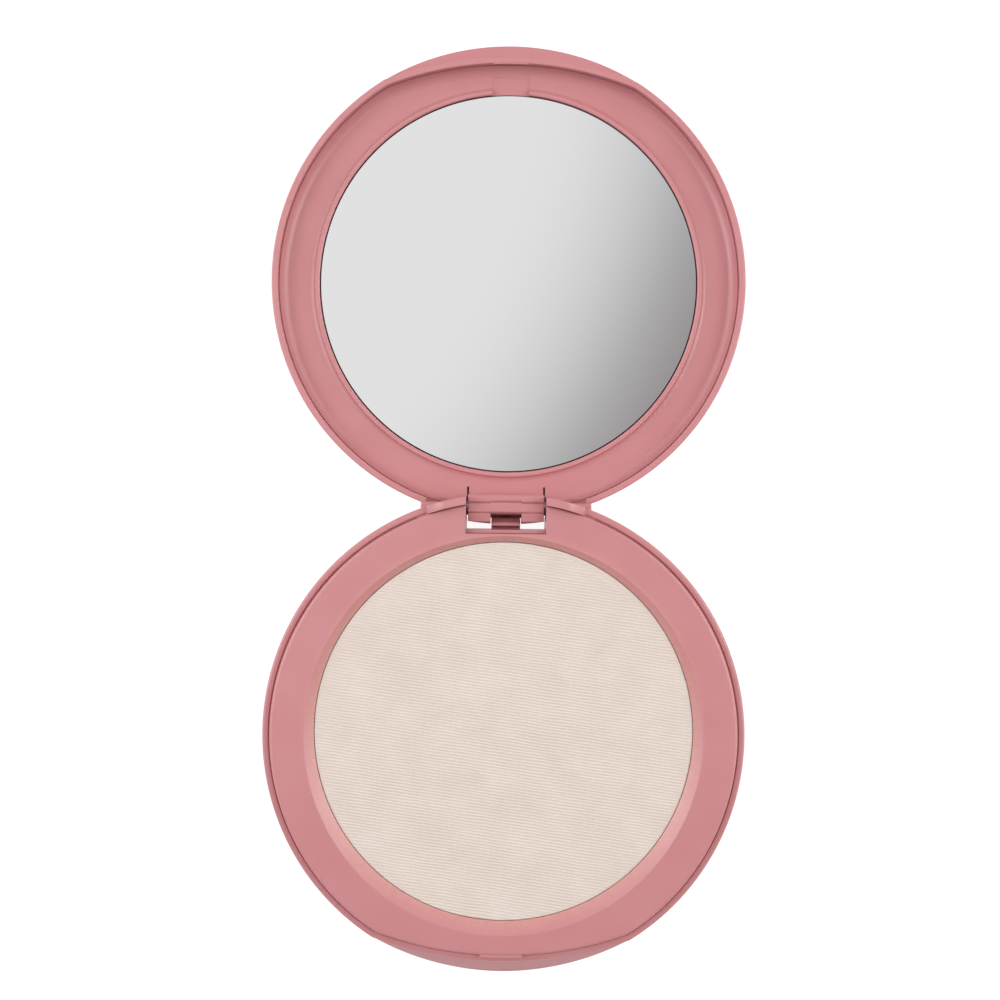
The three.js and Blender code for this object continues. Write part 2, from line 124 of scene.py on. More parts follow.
class CaseSizes(bpy.types.PropertyGroup):
    wall: length("Wall", "Side walls of both shells", 1.0)
    fit_gap: length("Fit gap", "Between pieces that touch on the real compact", 0.3)
    rim_round: length("Rim rounding", "Outer edge of both rims", 0.35)
    inner_round: length("Inner rounding", "Inner edge of both rims", 0.15)
    seam: length("Seam", "Visible line between pieces that are pressed together", 0.06)
    seat: length("Seat", "Below the rim, where the wall thickens to hold the tray", 0.3)
    scoop_half_width: length("Scoop half width", "Thumb scoop at the front of both halves", 20.3)


class BaseSizes(bpy.types.PropertyGroup):
    rim: length("Rim height", "Top of the base's side wall", 10.9)
    floor: length("Floor", "Inside of the bottom, above the table", 1.8)
    round_width: length("Rounding width", "Rounding under the base, across", 7.0)
    round_height: length("Rounding height", "Rounding under the base, upwards", 6.0)
    foot_width: length("Foot width", "Flat ring that the base stands on", 5.0)
    foot_rise: length("Foot recess", "Depth of the recess inside the foot", 0.6)
    scoop_inset: length("Scoop inset", "How far the front edge is set back", 2.3)
    scoop_lip: length("Scoop lip", "Straight lip above the cove", 0.7)
    scoop_depth: length("Scoop depth", "From the rim down the slope", 3.6)


class TraySizes(bpy.types.PropertyGroup):
    edge_round: length("Edge rounding", "Outer edge of the tray's flat top", 0.42)
    bevel_width: length("Bevel width", "Slope between the well and the flat top", 1.54)
    bevel_drop: length("Bevel drop", "Height of that slope", 0.9)
    bevel_round: length("Bevel rounding", "Edge between the slope and the flat top", 0.35)
    plate: length("Plate", "Thickness of the flat top", 1.2)
    wall: length("Wall", "Wall and floor of the pan well", 0.8)
    well_floor: length("Well floor", "Inside of the pan well, above the table", 5.9)
    skirt: length("Skirt", "How far the outer wall reaches down", 3.7)
    foot_radius: length("Foot radius", "Ring that props the well on the base's floor", 24.0)
    bead_width: length("Bead width", "Catch bead at the front", 6.7)
    bead_reach: length("Bead reach", "How far the bead stands out", 0.4)
    bead_height: length("Bead height", "Height of the bead", 0.35)


class HingeSizes(bpy.types.PropertyGroup):
    tab_half_width: length("Tab half width", "The lid's hinge tab", 6.0)
    inner_reach: length("Inner reach", "Tab, from the axis towards the mirror", 1.8)
    outer_reach: length("Outer reach", "Tab, from the axis away from the mirror", 2.9)
    knuckle_height: length("Knuckle height", "Top of the tab above the axis", 1.9)
    notch_half_width: length("Notch half width", "Slot in the tab over the tongue", 2.45)
    notch_reach: length("Notch reach", "From the axis to the wall of that slot", 1.3)
    tongue_half_width: length("Tongue half width", "Tongue in the base's cut-out", 2.3)
    tongue_reach: length("Tongue reach", "Out of the cut-out's front wall", 1.8)
    tongue_drop: length("Tongue drop", "Its crest, below the axis", 1.75)
    arch_radius: length("Arch radius", "Opening in the lid's rear wall, about the axis", 5.2)
    barrel_radius: length("Barrel radius", "The base's rear wall, about the axis", 4.9)
    arch_half_width: length("Arch half width", "Opening in the lid's rear wall", 12.9)
    arch_round: length("Arch rounding", "Ends of that opening and of the wall in it", 3.2)
    cheek_half_width: length("Cheek half width", "Web between the halves, beside the arch", 13.5)
    housing_half_width: length("Housing half width", "Block at the base's rear", 14.0)
    housing_front: length("Housing front", "From the base's centre", 31.75)
    cutout_wall: length("Cut-out wall", "Front wall of the hinge cut-out", 0.55)
    slot_length: length("Slot length", "Slots beside the tab, from the axis", 3.1)
    bore_radius: length("Bore radius", "Hole for the pin", 0.8)
    pin_half_length: length("Pin half length", "Half the pin", 9.25)


class PowderSizes(bpy.types.PropertyGroup):
    rib_pitch: length("Rib pitch", "From one embossed rib to the next", 0.473)
    rib_height: length("Rib height", "From groove to crest", 0.1)
    rib_wander: length("Rib wander", "How far a rib strays from straight", 0.09)
    edge_round: length("Edge", "Broken edge of the cake", 0.12)
    rim: length("Rim", "Underside of the cake's lip, just above the pan's rim", 11.31)
    pan_wall: length("Pan wall", "Sheet metal of the pan", 0.4)
    rib_turn: bpy.props.FloatProperty(
        name="Rib direction",
        description="How far the ribs are turned from the hinge axis",
        default=math.radians(-8.0),
        unit="ROTATION",
    )
    rows_per_rib: bpy.props.IntProperty(
        name="Rows per rib", description="Rows of points across each rib", default=5, min=3, max=8
    )
    columns: bpy.props.IntProperty(
        name="Columns", description="Points along each rib", default=96, min=16, max=160
    )


class LidSizes(bpy.types.PropertyGroup):
    skin: length("Skin", "Top of the lid", 1.0)
    round_width: length("Rounding width", "Rounding over the lid, across", 6.5)
    round_height: length("Rounding height", "Rounding over the lid, upwards", 3.8)
    scoop_inset: length("Scoop inset", "How far the front edge is set back", 2.0)
    scoop_lip: length("Scoop lip", "Straight lip above the cove", 0.5)
    scoop_depth: length("Scoop depth", "From the rim down the slope", 1.6)
    lug_half_width: length("Lug half width", "Snap lug inside the rim", 2.8)
    lug_reach: length("Lug reach", "How far the lug stands in", 0.15)
    lug_height: length("Lug height", "Height of the lug", 0.35)


class MirrorSizes(bpy.types.PropertyGroup):
    recess: length("Recess", "Gap between mirror and bezel", 0.1)
    bezel_width: length("Bezel width", "Bead round the mirror", 0.75)
    bezel_proud: length("Bezel height", "Bezel above the mirror's face", 0.5)
    foot_width: length("Foot width", "Cove between the bezel and the channel", 0.9)
    foot_rise: length("Foot rise", "Height of that cove", 0.4)
    channel_drop: length("Channel drop", "Channel floor below the mirror's face", 0.2)
    plate: length("Frame plate", "Thickness of the channel's floor", 1.0)
    edge: length("Frame edge", "Top of the frame's outer edge, above the table", 5.05)
    fillet: length("Fillet", "Width of the fillet up to the lid's wall", 1.5)
    lip: length("Lip", "Flat top of the frame's outer edge", 0.1)
    tuck: length("Tuck", "How far the underside rises, to clear the lid's rounding", 1.4)
    slot_half_width: length("Slot half width", "Break in bezel and fillet behind the lug", 2.95)
    arris: length("Arris", "Ground edge of the glass", 0.12)


class Colours(bpy.types.PropertyGroup):
    rose: colour("Rose", "Moulded plastic of both shells", "#c58385")
    rose_worn: colour("Worn rose", "Plastic where it is rubbed", "#d0969a")
    powder: colour("Powder", "Pressed face powder", "#e6dcd3")
    powder_deep: colour("Powder, deep", "Pressed powder between its grains", "#d0c1b5")
    # Painted reflected light: the peach glow that the powder throws on the tray's plastic.
    powder_glow: colour("Dust", "Loose powder on the plastic", "#dfae93")
    aluminium: colour("Aluminium", "Drawn pan", "#d4d4d6")
    steel: colour("Steel", "Hinge pin", "#b4b6ba")
    silver: colour("Silver", "Silvering behind the glass", "#f6f6f6")
    glass_edge: colour("Glass edge", "Ground edge of the mirror", "#46302f")
    adhesive: colour("Adhesive", "Foam tape and adhesive dot", "#e9e4d6")
    paper: colour("Paper", "Blank label", "#efe6e4")
    floor: colour("Floor", "Studio floor", "#f8f8f8")
    floor_sheet: colour("Floor sheet", "The floor's own grey, without its glow", "#7c7c7c")


class StageSizes(bpy.types.PropertyGroup):
    camera_height: length("Camera height", "Above the table", 265.0)
    camera_back: length("Camera offset", "Past the hinge axis, towards the lid", 0.975)
    camera_left: length("Camera side offset", "To the left of the middle", 0.97)
    camera_roll: bpy.props.FloatProperty(
        name="Camera roll",
        description="Turn about the line of sight",
        default=math.radians(0.68),
        unit="ROTATION",
    )
    lens: bpy.props.FloatProperty(
        name="Lens", description="Focal length in millimetres", default=58.14, min=1.0
    )
    floor_size: length("Floor size", "Side of the floor", 4000.0)
    card_height: length("Card height", "Light card above the table", 600.0)
    card_size: length("Card size", "Side of the light card", 1700.0)
    glow: bpy.props.FloatProperty(
        name="Floor glow", description="Light that the floor gives off", default=0.97, min=0.0
    )
    side_power: bpy.props.FloatProperty(
        name="Side power", description="Each side light", default=1.4, min=0.0, unit="POWER"
    )
    top_power: bpy.props.FloatProperty(
        name="Top power", description="Each top light", default=1.2, min=0.0, unit="POWER"
    )
    world: bpy.props.FloatProperty(
        name="Room light", description="Soft light from all round", default=0.34, min=0.0
    )


SETTINGS = {
    "compact_case": CaseSizes,
    "compact_base": BaseSizes,
    "compact_tray": TraySizes,
    "compact_hinge": HingeSizes,
    "compact_powder": PowderSizes,
    "compact_lid": LidSizes,
    "compact_mirror": MirrorSizes,
    "compact_colours": Colours,
    "compact_stage": StageSizes,
}


# ---- Outlines ----
def rounded(corners, closed=False):
    """An outline with rounded corners. A corner is (across, up) or (across, up, rounding)."""
    points = []
    count = len(corners)
    for i, corner in enumerate(corners):
        here = Vector(corner[:2])
        ends = not closed and i in (0, count - 1)
        if len(corner) == 2 or ends:
            points.append(here)
            continue
        to_before = Vector(corners[i - 1][:2]) - here
        to_after = Vector(corners[(i + 1) % count][:2]) - here
        half = to_before.angle(to_after) / 2
        cut = min(corner[2] / math.tan(half), to_before.length / 2, to_after.length / 2)
        before, after = to_before.normalized(), to_after.normalized()
        centre = here + (before + after).normalized() * (cut / math.cos(half))
        start, end = here + before * cut - centre, here + after * cut - centre
        if to_before.length / 2 > cut + HOLD:
            points.append(here + before * (cut + HOLD))
        for step in range(ARC_STEPS + 1):
            share = step / ARC_STEPS
            spread = start.angle(end)
            first = math.sin((1 - share) * spread) / math.sin(spread)
            second = math.sin(share * spread) / math.sin(spread)
            points.append(centre + start * first + end * second)
        if to_after.length / 2 > cut + HOLD:
            points.append(here + after * (cut + HOLD))
    return [tuple(p) for p in points]


def quarter(across, up, width, height, start, end):
    """Points on part of an ellipse about (across, up), between two angles in degrees."""
    points = []
    for step in range(QUARTER_STEPS + 1):
        angle = math.radians(start + (end - start) * step / QUARTER_STEPS)
        points.append((across + width * math.cos(angle), up + height * math.sin(angle)))
    return points


# ---- Shapes ----
def closed_shape(name, points, faces):
    """A closed shape whose faces point outwards."""
    mesh = bpy.data.meshes.new(name)
    mesh.from_pydata(points, [], faces)
    work = bmesh.new()
    work.from_mesh(mesh)
    bmesh.ops.recalc_face_normals(work, faces=work.faces)
    work.to_mesh(mesh)
    work.free()
    shape = bpy.data.objects.new(name, mesh)
    bpy.context.scene.collection.objects.link(shape)
    return shape


def turned(name, section, centre, segments=SEGMENTS, place=None):
    """Turns a section of (radius, height) about the upright line at Y = centre.

    A section that starts and ends on that line gets a pole at each end, any other one is a ring.
    place(angle, radius, height) gives each point's own radius and its shift along Y.
    """
    place = place or (lambda angle, radius, height: (radius, 0.0))
    points, loops = [], []
    for radius, height in section:
        if radius < 1e-9:
            loops.append([len(points)] * segments)
            points.append((0.0, centre + place(0.0, 0.0, height)[1], height))
            continue
        loops.append(list(range(len(points), len(points) + segments)))
        for i in range(segments):
            angle = 2 * math.pi * i / segments
            reach, shift = place(angle, radius, height)
            points.append(
                (reach * math.cos(angle), centre + shift + reach * math.sin(angle), height)
            )
    open_ended = section[0][0] < 1e-9 and section[-1][0] < 1e-9
    pairs = list(zip(loops, loops[1:] if open_ended else loops[1:] + loops[:1]))
    faces = []
    for low, high in pairs:
        for i in range(segments):
            j = (i + 1) % segments
            corners = [low[i], low[j], high[j], high[i]]
            faces.append([c for k, c in enumerate(corners) if c != corners[k - 1]])
    return closed_shape(name, points, faces)


def both(half):
    """From half to the left of the middle to half to the right of it."""
    return (-half, half)


def block(name, x, y, z, flare=0.0):
    """A block between two values on each axis, whose top is wider by flare on each side."""
    points = []
    for height, extra in zip(z, (0.0, flare)):
        points += [
            (x[0] - extra, y[0] - extra, height),
            (x[1] + extra, y[0] - extra, height),
            (x[1] + extra, y[1] + extra, height),
            (x[0] - extra, y[1] + extra, height),
        ]
    sides = [[i, (i + 1) % 4, (i + 1) % 4 + 4, i + 4] for i in range(4)]
    return closed_shape(name, points, [[3, 2, 1, 0], [4, 5, 6, 7]] + sides)


def drawn_out(name, section, x, edge, steps=ARC_STEPS):
    """A section of (y, z) drawn out between two values on X, with its end edges rounded."""
    section = [Vector(p) for p in section]
    count = len(section)
    area = sum(section[i - 1].cross(section[i]) for i in range(count))
    inwards = []
    for i, here in enumerate(section):
        before = (here - section[i - 1]).normalized()
        after = (section[(i + 1) % count] - here).normalized()
        along = (before + after).normalized()
        side = Vector((-along.y, along.x)) * math.copysign(1.0, area)
        inwards.append(side / max(0.7, along.dot(after)))
    loops = []
    for step in range(steps + 1):
        turn = math.pi / 2 * step / steps
        loops.append((x[0] + edge * (1 - math.cos(turn)), edge * (1 - math.sin(turn))))
    loops += [(x[0] + x[1] - across, inset) for across, inset in reversed(loops)]
    points = [
        (across, p.x + way.x * inset, p.y + way.y * inset)
        for across, inset in loops
        for p, way in zip(section, inwards)
    ]
    faces = [list(range(count)), list(range(len(points) - count, len(points)))]
    for row in range(len(loops) - 1):
        for i in range(count):
            a, b = row * count + i, row * count + (i + 1) % count
            faces.append([a, b, b + count, a + count])
    return closed_shape(name, points, faces)


def rod(name, radius, x, segments=96, edge=0.0001 * MM):
    """A cylinder along X about the hinge axis, with its end edges rounded."""
    turns = [2 * math.pi * i / segments for i in range(segments)]
    section = [(radius * math.cos(t), AXIS_Z + radius * math.sin(t)) for t in turns]
    return drawn_out(name, section, x, edge, QUARTER_STEPS)


def applied(shape):
    """Makes a shape's modifiers part of its mesh."""
    bpy.context.view_layer.update()
    graph = bpy.context.evaluated_depsgraph_get()
    mesh = bpy.data.meshes.new_from_object(shape.evaluated_get(graph), depsgraph=graph)
    shape.modifiers.clear()
    shape.data = mesh
    return shape


def worked(shape, *steps):
    """Joins, cuts or trims a closed shape. Each step is an operation and the shape it uses up."""
    for operation, tool in steps:
        boolean = shape.modifiers.new(operation, "BOOLEAN")
        boolean.solver = "MANIFOLD"
        boolean.operation = operation
        boolean.object = tool
    applied(shape)
    for _, tool in steps:
        bpy.data.objects.remove(tool)
    if not shape.data.polygons:
        raise RuntimeError(f"{shape.name} came out empty")
    return shape


def finished(shape, name, body, material, sharp=SHARP):
    """Names a piece, smooths its shading, gives it its material and hangs it on its body."""
    shape.name = shape.data.name = name
    work = bmesh.new()
    work.from_mesh(shape.data)
    bmesh.ops.remove_doubles(work, verts=work.verts, dist=0.001 * MM)
    bmesh.ops.dissolve_degenerate(work, edges=work.edges, dist=0.0005 * MM)
    bmesh.ops.recalc_face_normals(work, faces=work.faces)
    work.to_mesh(shape.data)
    work.free()
    shape.data.shade_smooth()
    shape.data.set_sharp_from_angle(angle=sharp)
    shape.data.materials.clear()
    shape.data.materials.append(material)
    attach(shape, body)
    return shape


# ---- Thumb scoops ----
def on_outside(case, half, radius, height):
    """Whether a point of a shell's section is on its outer face."""
    if height >= half.round_height:
        return radius > CASE_RADIUS - case.wall + case.inner_round + 1e-6
    below = 1 - max(0.0, height) / half.round_height
    outer = CASE_RADIUS - half.round_width * (1 - math.sqrt(1 - below**2))
    return radius > outer - case.wall / 2


class Scoop:
    """The front of a half, flattened to an arc. side is -1 on the base and +1 on the lid."""

    def __init__(self, case, half, side):
        apex = CASE_RADIUS - half.scoop_inset
        sag = apex - math.sqrt(CASE_RADIUS**2 - case.scoop_half_width**2)
        self.radius = (case.scoop_half_width**2 + sag**2) / (2 * sag)
        self.offset = side * (apex - self.radius)
        self.inset, self.lip, self.depth = half.scoop_inset, half.scoop_lip, half.scoop_depth

    def pulled_in(self, angle, full, inset):
        """How far an edge of that full radius is set back there, behind a wall of that inset."""
        along = self.offset * math.sin(angle)
        reach = along + math.sqrt(along**2 - self.offset**2 + (self.radius - inset) ** 2)
        return max(0.0, full - reach)

    def cutter(self, centre, rim):
        """What the scoop takes off a shell: a steep slope that runs out from under the lip."""
        lip, low = rim - self.lip, rim - self.depth
        section = rounded(
            [
                (self.radius, rim + MM),
                (self.radius, lip, 0.2 * MM),
                (self.radius + self.inset, low + 0.15 * self.depth, 2 * MM),
                (self.radius + 3 * self.inset, low - 0.15 * self.depth),
                (FAR, low - 0.15 * self.depth),
                (FAR, rim + MM),
            ],
            closed=True,
        )
        return turned("scoop", section, centre + self.offset, 2 * SEGMENTS)


def share_between(value, low, high):
    """0 at low, 1 at high, and straight between them."""
    return min(1.0, max(0.0, (value - low) / (high - low)))


def shell_place(case, half, scoop, rim):
    """Sets a shell's wall back at its scoop, inside all the way up and outside at the lip."""
    inner = CASE_RADIUS - case.wall
    lip = rim - half.scoop_lip

    def place(angle, radius, height):
        if not on_outside(case, half, radius, height):
            share = share_between(radius, CASE_RADIUS - half.round_width, inner - case.wall)
            return radius - share * scoop.pulled_in(angle, inner, case.wall), 0.0
        if height < lip - LIP_MARGIN:
            return radius, 0.0
        return radius - scoop.pulled_in(angle, CASE_RADIUS, -LIP_MARGIN), 0.0

    return place


# ---- Materials ----
def add_node(tree, kind, settings=None, inputs=None):
    """Adds a node. An input is a value, or the socket that it is linked from."""
    node = tree.nodes.new(kind)
    for name, value in (settings or {}).items():
        setattr(node, name, value)
    for name, value in (inputs or {}).items():
        if isinstance(value, bpy.types.NodeSocket):
            tree.links.new(value, node.inputs[name])
        else:
            node.inputs[name].default_value = value
    return node


def new_material(name):
    """An empty material, with a node that gives places in millimetres."""
    material = bpy.data.materials.new(name)
    material.use_nodes = True
    material.node_tree.nodes.clear()
    place = add_node(material.node_tree, "ShaderNodeTexCoord")
    millimetres = add_node(
        material.node_tree,
        "ShaderNodeMapping",
        inputs={"Vector": place.outputs["Object"], "Scale": (1000.0, 1000.0, 1000.0)},
    )
    return material, material.node_tree, millimetres.outputs["Vector"]


def give_surface(material, inputs):
    """Ends a material in a Principled shader with these inputs."""
    tree = material.node_tree
    shader = add_node(tree, "ShaderNodeBsdfPrincipled", inputs=inputs)
    add_node(tree, "ShaderNodeOutputMaterial", inputs={"Surface": shader.outputs["BSDF"]})
    return material


def noise(tree, place, width, detail=2.0, distortion=0.0):
    """Noise whose clouds are that many millimetres wide."""
    inputs = {"Vector": place, "Scale": 1 / width, "Detail": detail, "Distortion": distortion}
    return add_node(tree, "ShaderNodeTexNoise", inputs=inputs).outputs["Fac"]


def stretched(tree, place, scale):
    """Places in millimetres, scaled along each axis."""
    inputs = {"Vector": place, "Scale": scale}
    return add_node(tree, "ShaderNodeMapping", inputs=inputs).outputs["Vector"]


def ranged(tree, value, low, high, start=0.0, end=1.0):
    """Maps a value between start and end to one between low and high."""
    inputs = {"Value": value, "From Min": start, "From Max": end, "To Min": low, "To Max": high}
    return add_node(tree, "ShaderNodeMapRange", inputs=inputs).outputs["Result"]


def mixed(tree, share, first, second):
    """Two colours, mixed by the second one's share."""
    inputs = {0: share, 6: first, 7: second}
    return add_node(tree, "ShaderNodeMix", {"data_type": "RGBA"}, inputs).outputs[2]


def bumped(tree, height, strength, depth):
    """The normals of a relief of that depth in millimetres."""
    inputs = {"Height": height, "Strength": strength, "Distance": depth * MM}
    return add_node(tree, "ShaderNodeBump", inputs=inputs).outputs["Normal"]


def vectors(tree, operation, first, second=(0.0, 0.0, 0.0)):
    """The outputs of a sum, product, length or direction of vectors."""
    inputs = {0: first, 1: second}
    return add_node(tree, "ShaderNodeVectorMath", {"operation": operation}, inputs).outputs


def moulded_abs(name, colours, with_powder_glow=False):
    """Dusty-rose ABS, injection moulded in a spark-eroded tool.

    That gives a satin face: a soft broad highlight, a grain too fine to see singly, faint
    flow clouds from the moulding, and a few rubbed places that shine more.
    """
    material, tree, place = new_material(name)
    # Flow clouds are 9 mm wide, rubbed places 4 mm, and the tool's grain 0.3 mm, which is
    # coarser than the real 0.05 mm so that it shows.
    clouds = ranged(tree, noise(tree, place, 9, 3.0), 0.0, 0.3, 0.35, 0.8)
    base_colour = mixed(tree, clouds, colours.rose, colours.rose_worn)
    if with_powder_glow:
        # Painted reflected light of the powder: a peach glow on the plastic beside the pan.
        base_colour = painted_powder_glow(tree, place, base_colour, colours)
    inputs = {
        "Base Color": base_colour,
        "Roughness": ranged(tree, noise(tree, place, 4, 3.0), 0.36, 0.3, 0.2, 0.85),
        "IOR": 1.53,
        "Normal": bumped(tree, noise(tree, place, 0.3), 0.3, 0.006),
    }
    return give_surface(material, inputs)


def painted_powder_glow(tree, place, base_colour, colours):
    """Painted reflected light of the powder on the plastic: a peach glow, brightest beside the pan
    and mottled by fine noise.
    """
    edge, reach, brightest_glow = PAN_RADIUS / MM, 2.1, 0.58
    about_pan = vectors(tree, "SUBTRACT", place, (0.0, PAN_CENTRE / MM, 0.0))[0]
    flat = vectors(tree, "MULTIPLY", about_pan, (1.0, 1.0, 0.0))[0]
    radius = vectors(tree, "LENGTH", flat)["Value"]
    # Painted glow, strongest at the pan's edge and gone 2.1 mm out.
    glow_share = ranged(tree, radius, brightest_glow, 0.0, edge, edge + reach)
    inputs = {0: glow_share, 1: noise(tree, place, 0.8, 6.0)}
    amount = add_node(tree, "ShaderNodeMath", {"operation": "MULTIPLY"}, inputs)
    return mixed(tree, amount.outputs["Value"], base_colour, colours.powder_glow)


def pressed_powder_material(colours):
    """Talc and pigment, pressed under cloth: quite matt, with grains and mottled pigment."""
    material, tree, place = new_material("pressed powder")
    # Pigment clouds are 5 mm wide and grains 0.16 mm, as coarse as they need to be to show.
    clouds, grains = noise(tree, place, 5, 4.0), noise(tree, place, 0.16, 3.0)
    settings = {"operation": "MULTIPLY_ADD"}
    mottle = add_node(tree, "ShaderNodeMath", settings, {0: grains, 1: 0.6, 2: -0.1})
    settings = {"operation": "MULTIPLY_ADD", "use_clamp": True}
    inputs = {0: clouds, 1: 0.6, 2: mottle.outputs["Value"]}
    share = add_node(tree, "ShaderNodeMath", settings, inputs).outputs["Value"]
    inputs = {
        "Base Color": mixed(tree, share, colours.powder, colours.powder_deep),
        "Roughness": 0.95,
        "IOR": 1.5,
        "Specular IOR Level": 0.2,
        "Sheen Weight": 0.08,
        "Sheen Roughness": 0.5,
        "Normal": bumped(tree, grains, 0.6, 0.03),
    }
    return give_surface(material, inputs)


def drawn_aluminium(colours):
    """Aluminium sheet, drawn to a pan and tumbled: soft metal shine with fine scratches."""
    material, tree, place = new_material("drawn aluminium")
    # Drawing lines run round the wall, 0.08 mm apart upwards and far longer sideways, and
    # tumbling marks are 0.7 mm wide.
    scratches = noise(tree, stretched(tree, place, (0.2, 0.2, 12.0)), 1)
    inputs = {
        "Base Color": colours.aluminium,
        "Metallic": 1.0,
        "Roughness": ranged(tree, noise(tree, place, 0.7, 5.0), 0.28, 0.5),
        "Normal": bumped(tree, scratches, 0.3, 0.01),
    }
    return give_surface(material, inputs)


def drawn_steel(colours):
    """Steel wire, drawn and cut: bright, with streaks along the pin."""
    material, tree, place = new_material("drawn steel wire")
    # Die streaks are 0.1 mm wide and 6 mm long.
    streaks = noise(tree, stretched(tree, place, (1 / 6, 10.0, 10.0)), 1)
    inputs = {
        "Base Color": colours.steel,
        "Metallic": 1.0,
        "Roughness": ranged(tree, streaks, 0.2, 0.42),
        "Normal": bumped(tree, streaks, 0.3, 0.01),
    }
    return give_surface(material, inputs)


def silvered_glass(colours):
    """Float glass, silvered behind: a clear mirror, with a trace of wiping haze."""
    material, tree, place = new_material("silvered glass")
    # Wiping haze is 12 mm wide and so faint that only its edges catch the light.
    haze = ranged(tree, noise(tree, place, 12, 3.0), 0.0, 0.03)
    inputs = {"Base Color": colours.silver, "Metallic": 1.0, "Roughness": haze}
    return give_surface(material, inputs)


def ground_glass_edge(colours):
    """The cut and ground edge of the glass: dark, because little light comes out there."""
    material, tree, place = new_material("ground glass edge")
    # Grinding marks are 0.2 mm apart.
    marks = noise(tree, place, 0.2, 3.0)
    inputs = {
        "Base Color": colours.glass_edge,
        "Roughness": ranged(tree, marks, 0.25, 0.55),
        "IOR": 1.52,
        "Normal": bumped(tree, marks, 0.4, 0.01),
    }
    return give_surface(material, inputs)


def foam_adhesive(colours):
    """Acrylic foam, cast and cut: dull and cream, with closed cells."""
    material, tree, place = new_material("acrylic foam")
    # Cells are 0.4 mm across.
    cells = add_node(tree, "ShaderNodeTexVoronoi", inputs={"Vector": place, "Scale": 1 / 0.4})
    depth = cells.outputs["Distance"]
    inputs = {"Color": colours.adhesive, "Value": depth}
    shade = add_node(tree, "ShaderNodeHueSaturation", inputs=inputs).outputs["Color"]
    inputs = {
        "Base Color": mixed(tree, 0.15, colours.adhesive, shade),
        "Roughness": 0.7,
        "IOR": 1.47,
        "Normal": bumped(tree, depth, 0.5, 0.05),
    }
    return give_surface(material, inputs)


def label_paper(colours):
    """Coated paper, blank: nearly matt, with felted fibres under the coating."""
    material, tree, place = new_material("coated paper")
    # Fibres are 0.15 mm wide and 1.5 mm long.
    along = stretched(tree, place, (1 / 1.5, 1 / 0.15, 1.0))
    fibres = noise(tree, along, 1, distortion=1.5)
    inputs = {"Color": colours.paper, "Value": ranged(tree, fibres, 0.94, 1.0)}
    tint = add_node(tree, "ShaderNodeHueSaturation", inputs=inputs).outputs["Color"]
    inputs = {
        "Base Color": tint,
        "Roughness": 0.55,
        "IOR": 1.5,
        "Normal": bumped(tree, fibres, 0.3, 0.015),
    }
    return give_surface(material, inputs)


